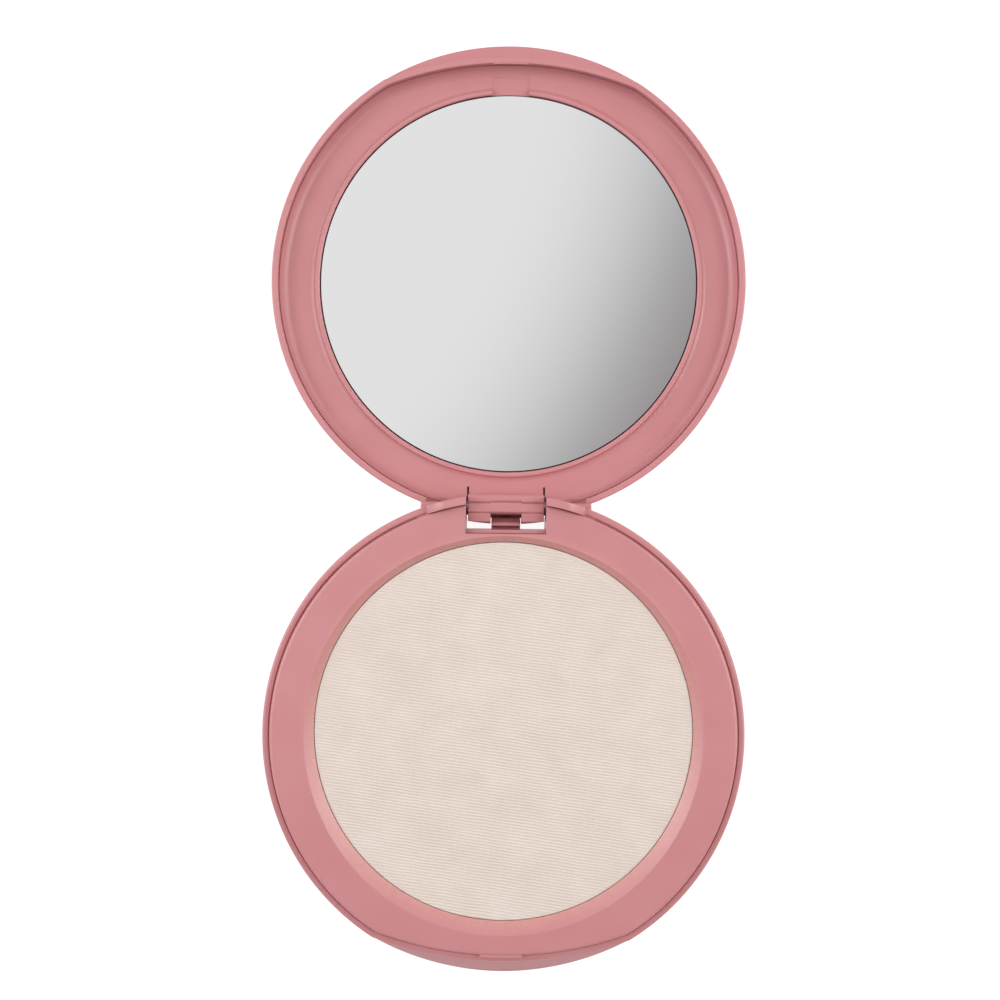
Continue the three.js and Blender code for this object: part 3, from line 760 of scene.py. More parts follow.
# ---- Base half ----
class COMPACT_OT_base_shell(bpy.types.Operator):
    """Build the lower shell, with its hinge housing, tongue and thumb scoop"""

    bl_idname = "compact.base_shell"
    bl_label = "Base shell"

    def execute(self, context):
        scene = context.scene
        case, base, hinge = scene.compact_case, scene.compact_base, scene.compact_hinge
        scoop = Scoop(case, base, -1)
        inner = CASE_RADIUS - case.wall
        foot_outer = CASE_RADIUS - base.round_width
        foot_inner = foot_outer - base.foot_width
        lip = base.rim - base.scoop_lip
        half_wall = case.wall / 2

        section = rounded(
            [
                (0.0, base.foot_rise),
                (foot_inner, base.foot_rise, 0.25 * MM),
                (foot_inner, 0.0, BROAD),
            ]
            + quarter(foot_outer, base.round_height, base.round_width, base.round_height, -90, 0)
            + [
                (CASE_RADIUS, lip - 0.03 * MM),
                (CASE_RADIUS, lip),
                (CASE_RADIUS, base.rim, case.rim_round),
                (inner, base.rim, case.inner_round),
                (inner, base.rim - case.seat, 0.1 * MM),
                (TRAY_RADIUS + case.seam, base.rim - case.seat, 0.1 * MM),
                (TRAY_RADIUS + case.seam, TRAY_LOW.z + 6 * MM),
                (inner, TRAY_LOW.z + 5 * MM),
            ]
            + quarter(
                foot_outer,
                base.round_height,
                base.round_width - case.wall,
                base.round_height - base.floor,
                0,
                -90,
            )
            + [(0.0, base.floor)]
        )

        place = shell_place(case, base, scoop, base.rim)
        shell = turned("base_shell_smooth", section, BASE_CENTRE, place=place)

        front = BASE_CENTRE + hinge.housing_front
        housing = turned(
            "housing",
            [(0.0, base.floor - half_wall)]
            + quarter(
                foot_outer,
                base.round_height,
                base.round_width - half_wall,
                base.round_height - base.floor + half_wall,
                -90,
                0,
            )
            + [
                (CASE_RADIUS - half_wall, TRAY_TOP - 1.5 * MM),
                (0.0, TRAY_TOP - 1.5 * MM),
            ],
            BASE_CENTRE,
        )
        width = hinge.housing_half_width
        worked(housing, ("INTERSECT", block("slab", both(width), (front, FAR), (0.0, FAR))))

        barrel_x = both(hinge.arch_half_width - case.fit_gap)
        rear_wall = turned(
            "rear wall",
            [
                (TRAY_RADIUS + case.seam, base.rim - MM),
                (CASE_RADIUS, base.rim - MM),
                (CASE_RADIUS, FAR),
                (TRAY_RADIUS + case.seam, FAR),
            ],
            BASE_CENTRE,
        )
        worked(
            rear_wall,
            ("INTERSECT", block("rear", (-FAR, FAR), (BASE_CENTRE, FAR), (0.0, FAR))),
            ("INTERSECT", rod("barrel", hinge.barrel_radius, barrel_x, edge=hinge.arch_round)),
        )
        open_lid = turned(
            "open lid",
            [
                (0.0, -MM),
                (CASE_RADIUS + case.fit_gap, -MM),
                (CASE_RADIUS + case.fit_gap, AXIS_Z),
                (0.0, AXIS_Z),
            ],
            LID_CENTRE,
        )
        worked(
            open_lid,
            ("DIFFERENCE", rod("barrel", hinge.barrel_radius, barrel_x, edge=hinge.arch_round)),
        )
        # The web fills the notch between the halves, with its crest just short of the axis.
        web_back, web_front, web_crest = -3 * MM, 0.6 * MM, -0.4 * MM
        cheek = drawn_out(
            "cheek",
            rounded(
                [
                    (web_back, 3 * MM),
                    (web_front, 4.5 * MM),
                    (web_front, base.rim - 1.2 * MM, 0.4 * MM),
                    (web_crest, base.rim - 0.7 * MM, 0.4 * MM),
                    (web_crest - 0.5 * MM, base.rim - MM),
                    (web_back, base.rim - 1.7 * MM),
                ],
                closed=True,
            ),
            both(hinge.cheek_half_width),
            0.3 * MM,
        )

        cut_x = both(hinge.tab_half_width + case.fit_gap)
        root = front + hinge.cutout_wall
        tip = root + hinge.tongue_reach
        pin_x = both(hinge.pin_half_length)
        # A stem out of the cut-out's wall carries an upright lip, whose front slopes back.
        crest = AXIS_Z - hinge.tongue_drop
        in_wall = root - hinge.cutout_wall / 2
        stem_low, stem_top, lip_top = crest - 2.8 * MM, crest - 1.3 * MM, crest + 1.5 * MM
        tongue = drawn_out(
            "tongue",
            rounded(
                [
                    (in_wall, stem_low),
                    (tip, stem_low, BROAD),
                    (tip, crest, SOFT),
                    (tip - 0.75 * MM, lip_top, 0.35 * MM),
                    (tip - 1.25 * MM, lip_top, BROAD),
                    (tip - 1.4 * MM, stem_top, BROAD),
                    (in_wall, stem_top),
                ],
                closed=True,
            ),
            both(hinge.tongue_half_width),
            0.15 * MM,
        )
        worked(
            shell,
            ("UNION", housing),
            ("UNION", rear_wall),
            ("UNION", cheek),
            ("DIFFERENCE", scoop.cutter(BASE_CENTRE, base.rim)),
            ("DIFFERENCE", block("cut-out", cut_x, (root, FAR), (-MM, FAR))),
            ("UNION", tongue),
            ("DIFFERENCE", open_lid),
            ("DIFFERENCE", rod("bore", hinge.bore_radius, pin_x, 32)),
        )
        plastic = moulded_abs("rose abs, base", scene.compact_colours)
        finished(shell, "base_shell_smooth", "base", plastic)
        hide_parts("base_shell")
        return {"FINISHED"}


class COMPACT_OT_pan_tray(bpy.types.Operator):
    """Build the tray that holds the pan, with its bevel, well and catch bead"""

    bl_idname = "compact.pan_tray"
    bl_label = "Pan tray"

    def execute(self, context):
        scene = context.scene
        case, base, tray = scene.compact_case, scene.compact_base, scene.compact_tray
        hinge = scene.compact_hinge
        scoop = Scoop(case, base, -1)
        well = PAN_RADIUS + case.seam
        well_outer = well + tray.wall
        bevel_foot = TRAY_TOP - tray.bevel_drop
        bevel_top = well + tray.bevel_width
        under = TRAY_TOP - tray.plate
        skirt_inner = TRAY_RADIUS - case.wall
        edge_inset = case.wall + case.fit_gap

        section = rounded(
            [
                (0.0, tray.well_floor - tray.wall),
                (well_outer, tray.well_floor - tray.wall, BROAD),
                (well_outer, under),
                (skirt_inner, under),
                (skirt_inner, TRAY_TOP - tray.skirt, SOFT),
                (TRAY_RADIUS, TRAY_TOP - tray.skirt, SOFT),
                (TRAY_RADIUS, TRAY_TOP, tray.edge_round),
                (bevel_top, TRAY_TOP, tray.bevel_round),
                (well, bevel_foot, FINE),
                (well, tray.well_floor),
                (0.0, tray.well_floor),
            ]
        )

        def place(angle, radius, height):
            pulled = scoop.pulled_in(angle, TRAY_RADIUS, edge_inset)
            share = share_between(radius, bevel_top + MM, skirt_inner - 0.4 * MM)
            on_flat = pulled == 0.0 and radius > bevel_top + MM
            if radius > (well_outer + skirt_inner) / 2 or on_flat:
                return radius - share * pulled, 0.0
            lean = share_between(TRAY_TOP - height, 0.0, tray.bevel_drop)
            return radius - share * pulled, lean * PAN_SHIFT

        shape = turned("pan_tray_smooth", section, BASE_CENTRE, place=place)

        foot = turned(
            "foot",
            rounded(
                [
                    (tray.foot_radius, base.floor + case.fit_gap, SOFT),
                    (tray.foot_radius + tray.wall, base.floor + case.fit_gap, SOFT),
                    (tray.foot_radius + tray.wall, tray.well_floor - tray.wall / 2),
                    (tray.foot_radius, tray.well_floor - tray.wall / 2),
                ],
                closed=True,
            ),
            PAN_CENTRE,
        )
        bead_top = TRAY_TOP - case.fit_gap / 2
        bead_edge = scoop.radius - edge_inset + tray.bead_reach
        bead = turned(
            "bead",
            rounded(
                [
                    (scoop.radius - 2 * case.wall, bead_top - tray.bead_height),
                    (bead_edge, bead_top - tray.bead_height, FINE),
                    (bead_edge, bead_top, FINE),
                    (scoop.radius - 2 * case.wall, bead_top),
                ],
                closed=True,
            ),
            BASE_CENTRE + scoop.offset,
            2 * SEGMENTS,
        )
        bead_x = both(tray.bead_width / 2)
        worked(bead, ("INTERSECT", block("span", bead_x, (-FAR, BASE_CENTRE), (0.0, FAR))))
        tray_cut = BASE_CENTRE + hinge.housing_front - case.seam
        over_x = both(hinge.housing_half_width + case.fit_gap)
        cut_x = both(hinge.tab_half_width + case.fit_gap)
        edge_break = 0.15 * MM  # the slope that takes off the edge over the cut-out
        break_z = (TRAY_TOP - edge_break, TRAY_TOP + edge_break)
        worked(
            shape,
            ("UNION", foot),
            ("UNION", bead),
            ("DIFFERENCE", block("over housing", over_x, (tray_cut, FAR), (-MM, under))),
            ("DIFFERENCE", block("cut-out", cut_x, (tray_cut, FAR), (-MM, FAR))),
            ("DIFFERENCE", block("edge", cut_x, (tray_cut, FAR), break_z, flare=2 * edge_break)),
        )
        # The tray's plastic carries painted reflected light of the powder beside the pan.
        plastic = moulded_abs("rose abs, tray", scene.compact_colours, with_powder_glow=True)
        finished(shape, "pan_tray_smooth", "base", plastic)
        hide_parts("pan_tray")
        return {"FINISHED"}


class COMPACT_OT_powder_pan(bpy.types.Operator):
    """Build the drawn aluminium pan"""

    bl_idname = "compact.powder_pan"
    bl_label = "Powder pan"

    def execute(self, context):
        powder = context.scene.compact_powder
        wall, low, rim = powder.pan_wall, PAN_LOW.z, PAN_HIGH.z
        section = rounded(
            [
                (0.0, low),
                (PAN_RADIUS, low, 2 * wall),
                (PAN_RADIUS, rim, 0.15 * MM),
                (PAN_RADIUS - wall, rim, 0.15 * MM),
                (PAN_RADIUS - wall, low + wall, wall),
                (0.0, low + wall),
            ]
        )
        pan = turned("powder_pan_smooth", section, PAN_CENTRE)
        metal = drawn_aluminium(context.scene.compact_colours)
        finished(pan, "powder_pan_smooth", "base", metal)
        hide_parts("powder_pan")
        return {"FINISHED"}


def ribbed_cake_tree():
    """A node tree that makes a round cake with embossed ribs across its top.

    Its rows of points lie along the ribs: a square grid is drawn in to the circle row by row,
    each point is lifted by its place on its rib, and the rim is then drawn out and down to
    make the broken edge, the side and the bottom.
    """
    tree = bpy.data.node_groups.new("ribbed cake", "GeometryNodeTree")
    lengths = ("Radius", "Body Radius", "Top", "Rim", "Bottom", "Edge")
    ribs = ("Rib Pitch", "Rib Height", "Rib Wander", "Rib Turn", "Seed")
    sockets = dict.fromkeys(lengths + ribs, "NodeSocketFloat")
    sockets.update(Rows="NodeSocketInt", Columns="NodeSocketInt")
    sockets.update(Centre="NodeSocketVector", Material="NodeSocketMaterial")
    for name, kind in sockets.items():
        tree.interface.new_socket(name=name, in_out="INPUT", socket_type=kind)
    tree.interface.new_socket(name="Geometry", in_out="OUTPUT", socket_type="NodeSocketGeometry")
    given = tree.nodes.new("NodeGroupInput").outputs

    def calc(operation, first, second=0.0):
        settings = {"operation": operation}
        return add_node(tree, "ShaderNodeMath", settings, {0: first, 1: second}).outputs[0]

    def vector(**parts):
        return add_node(tree, "ShaderNodeCombineXYZ", inputs=parts).outputs[0]

    def scaled(direction, amount):
        settings = {"operation": "SCALE"}
        inputs = {0: direction, "Scale": amount}
        return add_node(tree, "ShaderNodeVectorMath", settings, inputs).outputs[0]

    def parts_of_place():
        place = tree.nodes.new("GeometryNodeInputPosition").outputs[0]
        return add_node(tree, "ShaderNodeSeparateXYZ", inputs={0: place}).outputs

    def cloth(place, width):
        settings = {"noise_dimensions": "4D"}
        inputs = {"Vector": place, "W": given["Seed"], "Scale": 1 / (width * MM), "Detail": 1.0}
        return add_node(tree, "ShaderNodeTexNoise", settings, inputs).outputs["Fac"]

    grid = add_node(
        tree,
        "GeometryNodeMeshGrid",
        inputs={
            "Size X": 2.0,
            "Size Y": 2.0,
            "Vertices X": given["Columns"],
            "Vertices Y": given["Rows"],
        },
    )
    unit = parts_of_place()
    below_one = calc("SUBTRACT", 1.0, calc("POWER", unit["Y"], 2.0))
    chord = calc("SQRT", calc("MAXIMUM", below_one))
    top_radius = calc("SUBTRACT", given["Radius"], given["Edge"])
    across = calc("MULTIPLY", calc("MULTIPLY", unit["X"], chord), top_radius)
    along = calc("MULTIPLY", unit["Y"], top_radius)

    # The cloth that presses the cake is woven, so each rib wanders and swells a little.
    flat_place = vector(X=across, Y=along)
    wander = cloth(flat_place, 4)
    swell = cloth(vectors(tree, "MULTIPLY", flat_place, (0.4, 1.0, 1.0))[0], 0.6)
    stray = calc("MULTIPLY", calc("SUBTRACT", wander, 0.5), given["Rib Wander"])
    turns = calc("DIVIDE", calc("ADD", along, calc("MULTIPLY", stray, 4.0)), given["Rib Pitch"])
    wave = calc("COSINE", calc("MULTIPLY", turns, 2 * math.pi))
    lift = calc("MULTIPLY", calc("SUBTRACT", calc("MULTIPLY", wave, 0.5), 0.5), given["Rib Height"])
    lift = calc("MULTIPLY", lift, calc("ADD", swell, 0.5))
    placed = vector(X=across, Y=along, Z=calc("ADD", given["Top"], lift))
    inputs = {"Geometry": grid.outputs["Mesh"], "Position": placed}
    top = add_node(tree, "GeometryNodeSetPosition", inputs=inputs)
    merged = add_node(
        tree,
        "GeometryNodeMergeByDistance",
        inputs={"Geometry": top.outputs[0], "Distance": 0.001 * MM},
    )

    # The rim: a step out and down for the broken edge, in under the lip that covers the pan's
    # rim, down for the side, and to the middle for the bottom.
    neighbours = tree.nodes.new("GeometryNodeInputMeshEdgeNeighbors")
    open_edge = add_node(
        tree,
        "FunctionNodeCompare",
        {"data_type": "INT", "operation": "EQUAL"},
        {2: neighbours.outputs["Face Count"], 3: 1},
    )
    here = parts_of_place()
    level = vector(X=here["X"], Y=here["Y"])
    outwards = vectors(tree, "NORMALIZE", level)[0]
    down_to_rim = vector(Z=calc("SUBTRACT", given["Rim"], here["Z"]))
    out_and_down = vectors(tree, "ADD", scaled(outwards, given["Edge"]), down_to_rim)[0]
    step_in = scaled(outwards, calc("SUBTRACT", given["Body Radius"], given["Radius"]))
    down_to_bottom = vector(Z=calc("SUBTRACT", given["Bottom"], here["Z"]))
    to_middle = scaled(level, -1.0)
    mesh, selection = merged.outputs[0], open_edge.outputs["Result"]
    for offset in (out_and_down, step_in, down_to_bottom, to_middle):
        drawn = add_node(
            tree,
            "GeometryNodeExtrudeMesh",
            {"mode": "EDGES"},
            {
                "Mesh": mesh,
                "Selection": selection,
                "Offset": offset,
                "Offset Scale": 1.0,
            },
        )
        mesh, selection = drawn.outputs["Mesh"], drawn.outputs["Top"]
    closed = add_node(
        tree, "GeometryNodeMergeByDistance", inputs={"Geometry": mesh, "Distance": 0.001 * MM}
    )
    inputs = {
        "Geometry": closed.outputs[0],
        "Translation": given["Centre"],
        "Rotation": vector(Z=given["Rib Turn"]),
    }
    moved = add_node(tree, "GeometryNodeTransform", inputs=inputs)
    real = add_node(
        tree, "GeometryNodeRealizeInstances", inputs={"Geometry": moved.outputs["Geometry"]}
    )
    dressed = add_node(
        tree,
        "GeometryNodeSetMaterial",
        inputs={"Geometry": real.outputs["Geometry"], "Material": given["Material"]},
    )
    add_node(tree, "NodeGroupOutput", inputs={"Geometry": dressed.outputs["Geometry"]})
    return tree


def set_inputs(modifier, values):
    """Sets a Geometry Nodes modifier's inputs by their names."""
    for item in modifier.node_group.interface.items_tree:
        if item.item_type == "SOCKET" and item.in_out == "INPUT":
            modifier[item.identifier] = values[item.name]


class COMPACT_OT_pressed_powder(bpy.types.Operator):
    """Build the cake of powder with its embossed ribs"""

    bl_idname = "compact.pressed_powder"
    bl_label = "Pressed powder"

    def execute(self, context):
        powder = context.scene.compact_powder
        material = pressed_powder_material(context.scene.compact_colours)
        radius = PAN_RADIUS - 0.03 * MM
        rows = round(2 * radius / powder.rib_pitch * powder.rows_per_rib)
        cake = bpy.data.objects.new("cake", bpy.data.meshes.new("cake"))
        context.scene.collection.objects.link(cake)
        modifier = cake.modifiers.new("ribs", "NODES")
        modifier.node_group = ribbed_cake_tree()
        set_inputs(
            modifier,
            {
                "Radius": radius,
                "Body Radius": radius - powder.pan_wall,
                "Top": POWDER_HIGH.z,
                "Rim": powder.rim,
                "Bottom": POWDER_LOW.z,
                "Centre": (0.0, PAN_CENTRE, 0.0),
                "Edge": powder.edge_round,
                "Rib Pitch": powder.rib_pitch,
                "Rib Height": powder.rib_height,
                "Rib Wander": powder.rib_wander,
                "Rib Turn": powder.rib_turn,
                "Rows": rows,
                "Columns": powder.columns,
                "Seed": 4.0,
                "Material": material,
            },
        )
        applied(cake)
        sharp = math.radians(60)
        finished(cake, "pressed_powder_ribbed", "base", material, sharp)
        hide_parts("pressed_powder")
        return {"FINISHED"}


# ---- Lid half ----
class COMPACT_OT_lid_cover(bpy.types.Operator):
    """Build the upper shell, with its rim, arch, thumb scoop and snap lug"""

    bl_idname = "compact.lid_cover"
    bl_label = "Lid cover"

    def execute(self, context):
        scene = context.scene
        case, lid, hinge = scene.compact_case, scene.compact_lid, scene.compact_hinge
        scoop = Scoop(case, lid, 1)
        inner = CASE_RADIUS - case.wall
        flat = CASE_RADIUS - lid.round_width
        lip = LID_RIM - lid.scoop_lip
        section = rounded(
            [(0.0, 0.0)]
            + quarter(flat, lid.round_height, lid.round_width, lid.round_height, -90, 0)
            + [
                (CASE_RADIUS, lip - 0.03 * MM),
                (CASE_RADIUS, lip),
                (CASE_RADIUS, LID_RIM, case.rim_round),
                (inner, LID_RIM, case.inner_round),
            ]
            + quarter(
                flat,
                lid.round_height,
                lid.round_width - case.wall,
                lid.round_height - lid.skin,
                0,
                -90,
            )
            + [(0.0, lid.skin)]
        )

        place = shell_place(case, lid, scoop, LID_RIM)
        cover = turned("lid_cover_smooth", section, LID_CENTRE, place=place)
        lug_top = LID_RIM - case.seam
        lug_edge = scoop.radius - case.wall - lid.lug_reach
        lug = turned(
            "lug",
            rounded(
                [
                    (lug_edge, lug_top - lid.lug_height, FINE),
                    (scoop.radius - case.wall / 2, lug_top - lid.lug_height),
                    (scoop.radius - case.wall / 2, lug_top),
                    (lug_edge, lug_top, FINE),
                ],
                closed=True,
            ),
            LID_CENTRE + scoop.offset,
            2 * SEGMENTS,
        )
        lug_x = both(lid.lug_half_width)
        worked(lug, ("INTERSECT", block("span", lug_x, (LID_CENTRE, 2 * FAR), (0.0, FAR))))
        arch_x = both(hinge.arch_half_width)
        worked(
            cover,
            ("DIFFERENCE", scoop.cutter(LID_CENTRE, LID_RIM)),
            ("DIFFERENCE", rod("arch", hinge.arch_radius, arch_x, edge=hinge.arch_round)),
            ("UNION", lug),
        )
        plastic = moulded_abs("rose abs, lid", scene.compact_colours)
        finished(cover, "lid_cover_smooth", "lid", plastic)
        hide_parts("lid_cover")
        return {"FINISHED"}


def knuckle(name, hinge, x, outer_reach, first_line, edge):
    """One part of the hinge tab: three rounded bands side by side, about the hinge axis."""
    top, low = hinge.knuckle_height, -4.5 * MM
    second_line = -1.07 * MM
    line_height = 0.76 * top
    corners = [
        (-outer_reach, low),
        (hinge.inner_reach, low),
        (hinge.inner_reach, 0.95 * top, 0.75 * MM),
        (first_line + 0.22 * MM, 0.93 * top, SOFT),
        (first_line, line_height, 0.03 * MM),
        (first_line - 0.12 * MM, top, 0.25 * MM),
    ]
    if outer_reach > -second_line + 0.3 * MM:
        corners += [
            (second_line + 0.12 * MM, 0.97 * top, BROAD),
            (second_line, line_height, 0.03 * MM),
            (second_line - 0.1 * MM, 0.92 * top, 0.15 * MM),
            (-0.85 * outer_reach, 0.75 * top, BROAD),
            (-outer_reach, 0.1 * top, BROAD),
        ]
    else:
        corners += [
            (second_line + 0.12 * MM, 0.97 * top, BROAD),
            (-outer_reach, 0.5 * top, 0.1 * MM),
        ]
    section = [(y, AXIS_Z + z) for y, z in rounded(corners, closed=True)]
    return drawn_out(name, section, x, edge)


class COMPACT_OT_mirror_frame(bpy.types.Operator):
    """Build the frame round the mirror: fillet, channel, bezel and hinge tab"""

    bl_idname = "compact.mirror_frame"
    bl_label = "Mirror frame"

    def execute(self, context):
        scene = context.scene
        case, lid, hinge = scene.compact_case, scene.compact_lid, scene.compact_hinge
        sizes = scene.compact_mirror
        scoop = Scoop(case, lid, 1)
        bezel_inner = MIRROR_HIGH.x + sizes.recess
        bezel_outer = bezel_inner + sizes.bezel_width
        bezel_top = MIRROR_HIGH.z + sizes.bezel_proud
        channel = MIRROR_HIGH.z - sizes.channel_drop
        outer = CASE_RADIUS - case.wall - case.seam
        fillet_outer = outer - sizes.lip
        fillet_inner = fillet_outer - sizes.fillet

        section = rounded(
            [
                (bezel_inner, BEZEL_LOW.z, 0.1 * MM),
                (bezel_outer, BEZEL_LOW.z, 0.1 * MM),
                (bezel_outer, channel - sizes.plate),
                (TRAY_RADIUS - sizes.tuck, channel - sizes.plate),
                (TRAY_RADIUS, channel),
                (outer, channel + 0.5 * MM),
                (outer, sizes.edge, FINE),
            ]
            + quarter(fillet_inner, sizes.edge, sizes.fillet, sizes.edge - channel, 0, -90)
            + quarter(
                bezel_outer + sizes.foot_width,
                channel + sizes.foot_rise,
                sizes.foot_width,
                sizes.foot_rise,
                -90,
                -180,
            )
            + [
                (bezel_outer, bezel_top, 0.28 * MM),
                (bezel_inner, bezel_top, 0.28 * MM),
            ],
            closed=True,
        )

        def place(angle, radius, height):
            pulled = scoop.pulled_in(angle, outer, case.wall + case.seam)
            share = share_between(radius, bezel_outer + 0.3 * MM, fillet_inner)
            return radius - share * pulled, 0.0

        shape = turned("mirror_frame_smooth", section, LID_CENTRE, place=place)

        half, notch = hinge.tab_half_width, hinge.notch_half_width
        line, edge = 0.5 * MM, 0.12 * MM
        overlap = 0.05 * MM  # of the middle part with those beside it
        middle_x = both(notch + overlap)
        proud = CASE_RADIUS + 0.85 * MM  # the tab stands out past the shut case
        outline = [(0.0, 0.0), (proud, 0.0), (proud, FAR), (0.0, FAR)]
        middle = knuckle("middle", hinge, middle_x, hinge.notch_reach, line + 0.15 * MM, 0.02 * MM)
        tab = knuckle("left", hinge, (-half, -notch), hinge.outer_reach, line, edge)
        worked(
            tab,
            ("UNION", knuckle("right", hinge, (notch, half), hinge.outer_reach, line, edge)),
            ("UNION", middle),
            ("INTERSECT", rod("barrel", hinge.barrel_radius, both(2 * half))),
            (
                "UNION",
                block(
                    "web",
                    both(half - 0.1 * MM),
                    (hinge.inner_reach / 4, hinge.inner_reach - 0.02 * MM),
                    (channel - sizes.plate / 2, AXIS_Z - hinge.knuckle_height),
                ),
            ),
            ("INTERSECT", turned("outline", outline, LID_CENTRE)),
            ("DIFFERENCE", rod("bore", hinge.bore_radius, (-FAR, FAR), 32)),
        )
        lug_slot = block(
            "lug slot",
            both(sizes.slot_half_width),
            (
                LID_CENTRE + bezel_inner - MM,
                LID_CENTRE + fillet_inner - scoop.pulled_in(math.pi / 2, outer, case.wall),
            ),
            (channel - 0.125 * MM, FAR),
        )
        arch_x = both(hinge.arch_half_width)
        slot_y = (-FAR, hinge.slot_length)
        slot_outer = half + case.fit_gap
        worked(
            shape,
            ("DIFFERENCE", lug_slot),
            ("DIFFERENCE", rod("arch", hinge.arch_radius, arch_x, edge=hinge.arch_round)),
            ("DIFFERENCE", block("left slot", (-slot_outer, -half), slot_y, (-MM, FAR))),
            ("DIFFERENCE", block("right slot", (half, slot_outer), slot_y, (-MM, FAR))),
            ("UNION", tab),
        )
        plastic = moulded_abs("rose abs, frame", scene.compact_colours)
        finished(shape, "mirror_frame_smooth", "lid", plastic)
        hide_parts("mirror_frame")
        return {"FINISHED"}


class COMPACT_OT_mirror(bpy.types.Operator):
    """Build the round mirror with its ground edge"""

    bl_idname = "compact.mirror"
    bl_label = "Mirror"

    def execute(self, context):
        scene = context.scene
        arris = scene.compact_mirror.arris
        radius, low, high = MIRROR_HIGH.x, MIRROR_LOW.z, MIRROR_HIGH.z
        section = [
            (0.0, low),
            (radius - arris, low),
            (radius, low + arris),
            (radius, high - arris),
            (radius - arris, high),
            (0.0, high),
        ]
        glass = turned("mirror_glass", section, LID_CENTRE)
        finished(
            glass, "mirror_glass", "lid", silvered_glass(scene.compact_colours)
        )
        glass.data.materials.append(ground_glass_edge(scene.compact_colours))
        for face in glass.data.polygons:
            face.material_index = 0 if face.normal.z > 0.99 else 1
        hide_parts("mirror")
        return {"FINISHED"}


class COMPACT_OT_small_pieces(bpy.types.Operator):
    """Build the label and give the pin, the adhesive dot and the tape their finish"""

    bl_idname = "compact.small_pieces"
    bl_label = "Label, pin and adhesives"

    def execute(self, context):
        colours = context.scene.compact_colours
        low, high, radius = LABEL_LOW.z, LABEL_HIGH.z, LABEL_HIGH.x
        section = rounded(
            [(0.0, low), (radius, low, 0.05 * MM), (radius, high, 0.05 * MM), (0.0, high)]
        )
        label = turned("base_label_smooth", section, BASE_CENTRE)
        finished(label, "base_label_smooth", "base", label_paper(colours))
        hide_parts("base_label")
        foam = foam_adhesive(colours)
        for name, material in (
            ("hinge_pin", drawn_steel(colours)),
            ("pan_adhesive", foam),
            ("mirror_tape", foam),
        ):
            frame["nodes"][name].material_slots[0].material = material
        return {"FINISHED"}


# ---- Studio ----
CARD_CENTRE = (-313.0, 263.0, 600.0)  # of the bright round, in millimetres
CARD_STOPS = {  # brightness by the distance from there in metres
    0.330: "#e9e9e9",
    0.352: "#e6e6e6",
    0.372: "#dedede",
    0.393: "#d1d1d1",
    0.414: "#bababb",
    0.433: "#a8a5a6",
    0.450: "#9b9697",
    0.480: "#938e90",
}
# Each soft light's place and size in metres, its power against the setting, and its colour
SIDE_LIGHTS = (
    ("left light", (-0.46, 0.12, 0.24), (0.6, 0.4), 1.0, "#fff8ff"),
    ("right light", (0.46, 0.12, 0.24), (0.6, 0.4), 1.0, "#fffaf8"),
)
TOP_LIGHTS = (
    ("left top light", (-0.33, 0.03, 0.55), (0.2, 0.4), 1.0, "#ffffff"),
    ("right top light", (0.33, 0.03, 0.55), (0.2, 0.4), 1.25, "#ffffff"),
)


def studio_plane(name, size, height):
    """A square on the level, facing up where it is the floor and down where it is the card."""
    half = size / 2
    corners = ((-half, -half), (half, -half), (half, half), (-half, half))
    points = [(x, y, height) for x, y in corners]
    mesh = bpy.data.meshes.new(name)
    mesh.from_pydata(points, [], [[0, 1, 2, 3] if height == 0.0 else [3, 2, 1, 0]])
    plane = bpy.data.objects.new(name, mesh)
    bpy.context.scene.collection.objects.link(plane)
    return plane


def floor_material(colours, glow):
    """Matt acrylic sheet, lit softly from below, as on a light table."""
    material, tree, place = new_material("light table")
    # Its surface changes over 2 mm.
    inputs = {
        "Base Color": colours.floor_sheet,
        "Roughness": ranged(tree, noise(tree, place, 2), 0.75, 0.9),
        "Specular IOR Level": 0.1,
        "Emission Color": colours.floor,
        "Emission Strength": glow,
    }
    return give_surface(material, inputs)


def card_material():
    """A light card that is bright over a wide round and falls off softly past its edge."""
    material, tree, place = new_material("light card")
    distance = vectors(tree, "DISTANCE", place, CARD_CENTRE)["Value"]
    settings = {"operation": "MULTIPLY"}
    metres = add_node(tree, "ShaderNodeMath", settings, {0: distance, 1: MM}).outputs["Value"]
    ramp = add_node(tree, "ShaderNodeValToRGB", inputs={"Fac": metres})
    ramp.color_ramp.interpolation = "B_SPLINE"
    points = ramp.color_ramp.elements
    for spare in list(points)[1:]:
        points.remove(spare)
    for i, (position, code) in enumerate(CARD_STOPS.items()):
        point = points[0] if i == 0 else points.new(position)
        point.position = position
        point.color = linear(code)
    emission = add_node(
        tree, "ShaderNodeEmission", inputs={"Color": ramp.outputs["Color"], "Strength": 1.0}
    )
    add_node(tree, "ShaderNodeOutputMaterial", inputs={"Surface": emission.outputs[0]})
    return material


def soft_light(name, place, aim, size, power, code):
    """A square soft light that faces a point."""
    light = bpy.data.lights.new(name, "AREA")
    light.shape = "RECTANGLE"
    light.size, light.size_y = size
    light.energy = power
    light.color = linear(code)[:3]
    lamp = bpy.data.objects.new(name, light)
    bpy.context.scene.collection.objects.link(lamp)
    lamp.location = place
    lamp.rotation_euler = (Vector(aim) - Vector(place)).to_track_quat("-Z", "Y").to_euler()
    return lamp


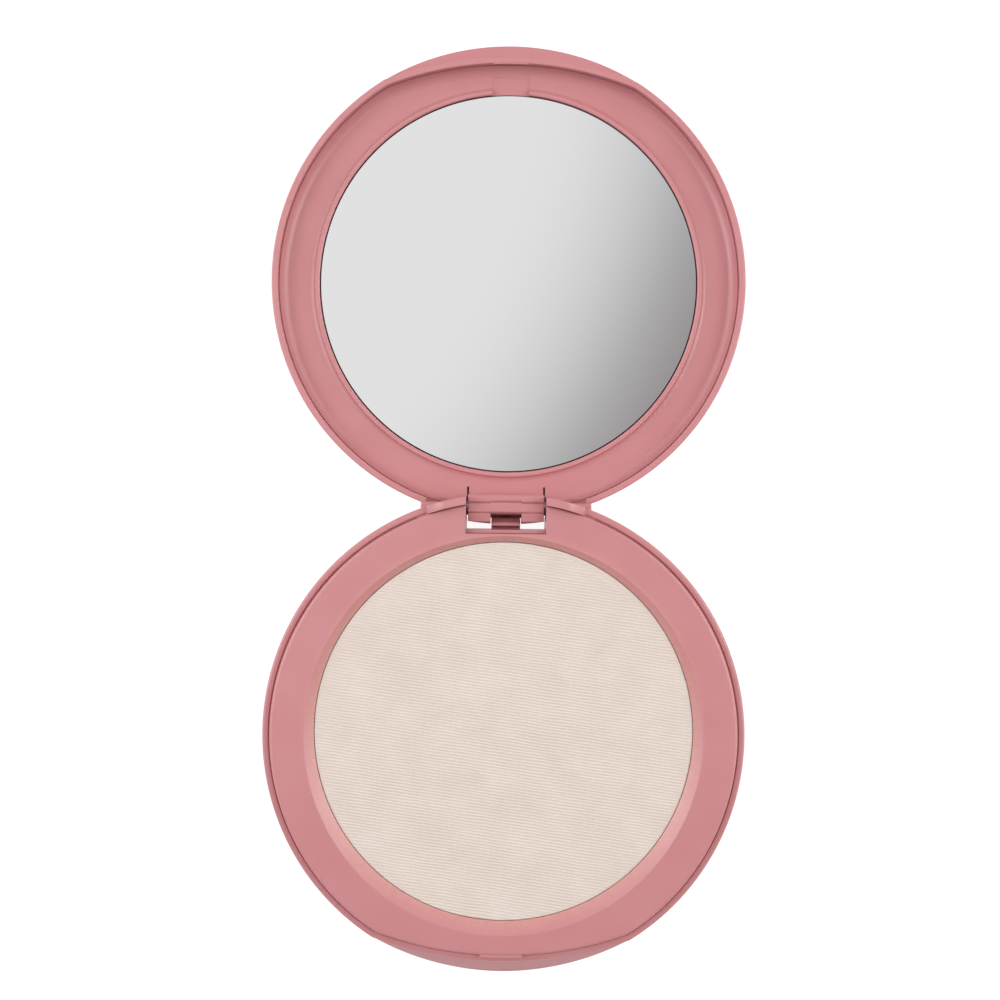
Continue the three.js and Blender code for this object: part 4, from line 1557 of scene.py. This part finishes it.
class COMPACT_OT_stage(bpy.types.Operator):
    """Set the camera, the floor, the light card, the side lights and the room light"""

    bl_idname = "compact.stage"
    bl_label = "Studio"

    def execute(self, context):
        scene = context.scene
        stage, colours = scene.compact_stage, scene.compact_colours

        camera = bpy.data.cameras.new("camera")
        camera.lens = stage.lens
        camera.sensor_width = 36.0
        camera.clip_start = 5 * MM
        camera.clip_end = 10.0
        eye = bpy.data.objects.new("camera", camera)
        scene.collection.objects.link(eye)
        eye.location = (-stage.camera_left, stage.camera_back, stage.camera_height)
        eye.rotation_euler = (0.0, 0.0, stage.camera_roll)
        scene.camera = eye

        floor = studio_plane("floor", stage.floor_size, 0.0)
        floor.data.materials.append(floor_material(colours, stage.glow))
        card = studio_plane("light_card", stage.card_size, stage.card_height)
        card.data.materials.append(card_material())
        card.visible_camera = False

        aim = (0.0, 0.0, AXIS_Z)
        for lights, power in ((SIDE_LIGHTS, stage.side_power), (TOP_LIGHTS, stage.top_power)):
            for name, place, size, share, code in lights:
                soft_light(name, place, aim, size, share * power, code)

        world = bpy.data.worlds.new("room")
        world.use_nodes = True
        background = world.node_tree.nodes["Background"]
        background.inputs["Color"].default_value = linear("#f4f3f5")
        background.inputs["Strength"].default_value = stage.world
        scene.world = world
        scene.view_settings.view_transform = "Standard"
        return {"FINISHED"}


# ---- Panel ----
OPERATORS = (
    COMPACT_OT_base_shell,
    COMPACT_OT_pan_tray,
    COMPACT_OT_powder_pan,
    COMPACT_OT_pressed_powder,
    COMPACT_OT_lid_cover,
    COMPACT_OT_mirror_frame,
    COMPACT_OT_mirror,
    COMPACT_OT_small_pieces,
    COMPACT_OT_stage,
)


class COMPACT_PT_pieces(bpy.types.Panel):
    """Lists the compact's pieces in the sidebar"""

    bl_idname = "COMPACT_PT_pieces"
    bl_label = "Powder Compact"
    bl_space_type = "VIEW_3D"
    bl_region_type = "UI"
    bl_category = "Compact"

    def draw(self, context):
        for operator in OPERATORS:
            self.layout.operator(operator.bl_idname)
        for name, group in SETTINGS.items():
            box = self.layout.box()
            box.label(text=name.replace("compact_", "").capitalize())
            for key in group.__annotations__:
                box.prop(getattr(context.scene, name), key)


def register():
    for group in SETTINGS.values():
        bpy.utils.register_class(group)
    for name, group in SETTINGS.items():
        setattr(bpy.types.Scene, name, bpy.props.PointerProperty(type=group))
    for operator in OPERATORS:
        bpy.utils.register_class(operator)
    bpy.utils.register_class(COMPACT_PT_pieces)


def unregister():
    bpy.utils.unregister_class(COMPACT_PT_pieces)
    for operator in reversed(OPERATORS):
        bpy.utils.unregister_class(operator)
    for name in SETTINGS:
        delattr(bpy.types.Scene, name)
    for group in SETTINGS.values():
        bpy.utils.unregister_class(group)


def main():
    register()
    bpy.ops.compact.base_shell()
    bpy.ops.compact.pan_tray()
    bpy.ops.compact.powder_pan()
    bpy.ops.compact.pressed_powder()
    bpy.ops.compact.lid_cover()
    bpy.ops.compact.mirror_frame()
    bpy.ops.compact.mirror()
    bpy.ops.compact.small_pieces()
    bpy.ops.compact.stage()


if __name__ == "__main__":
    main()
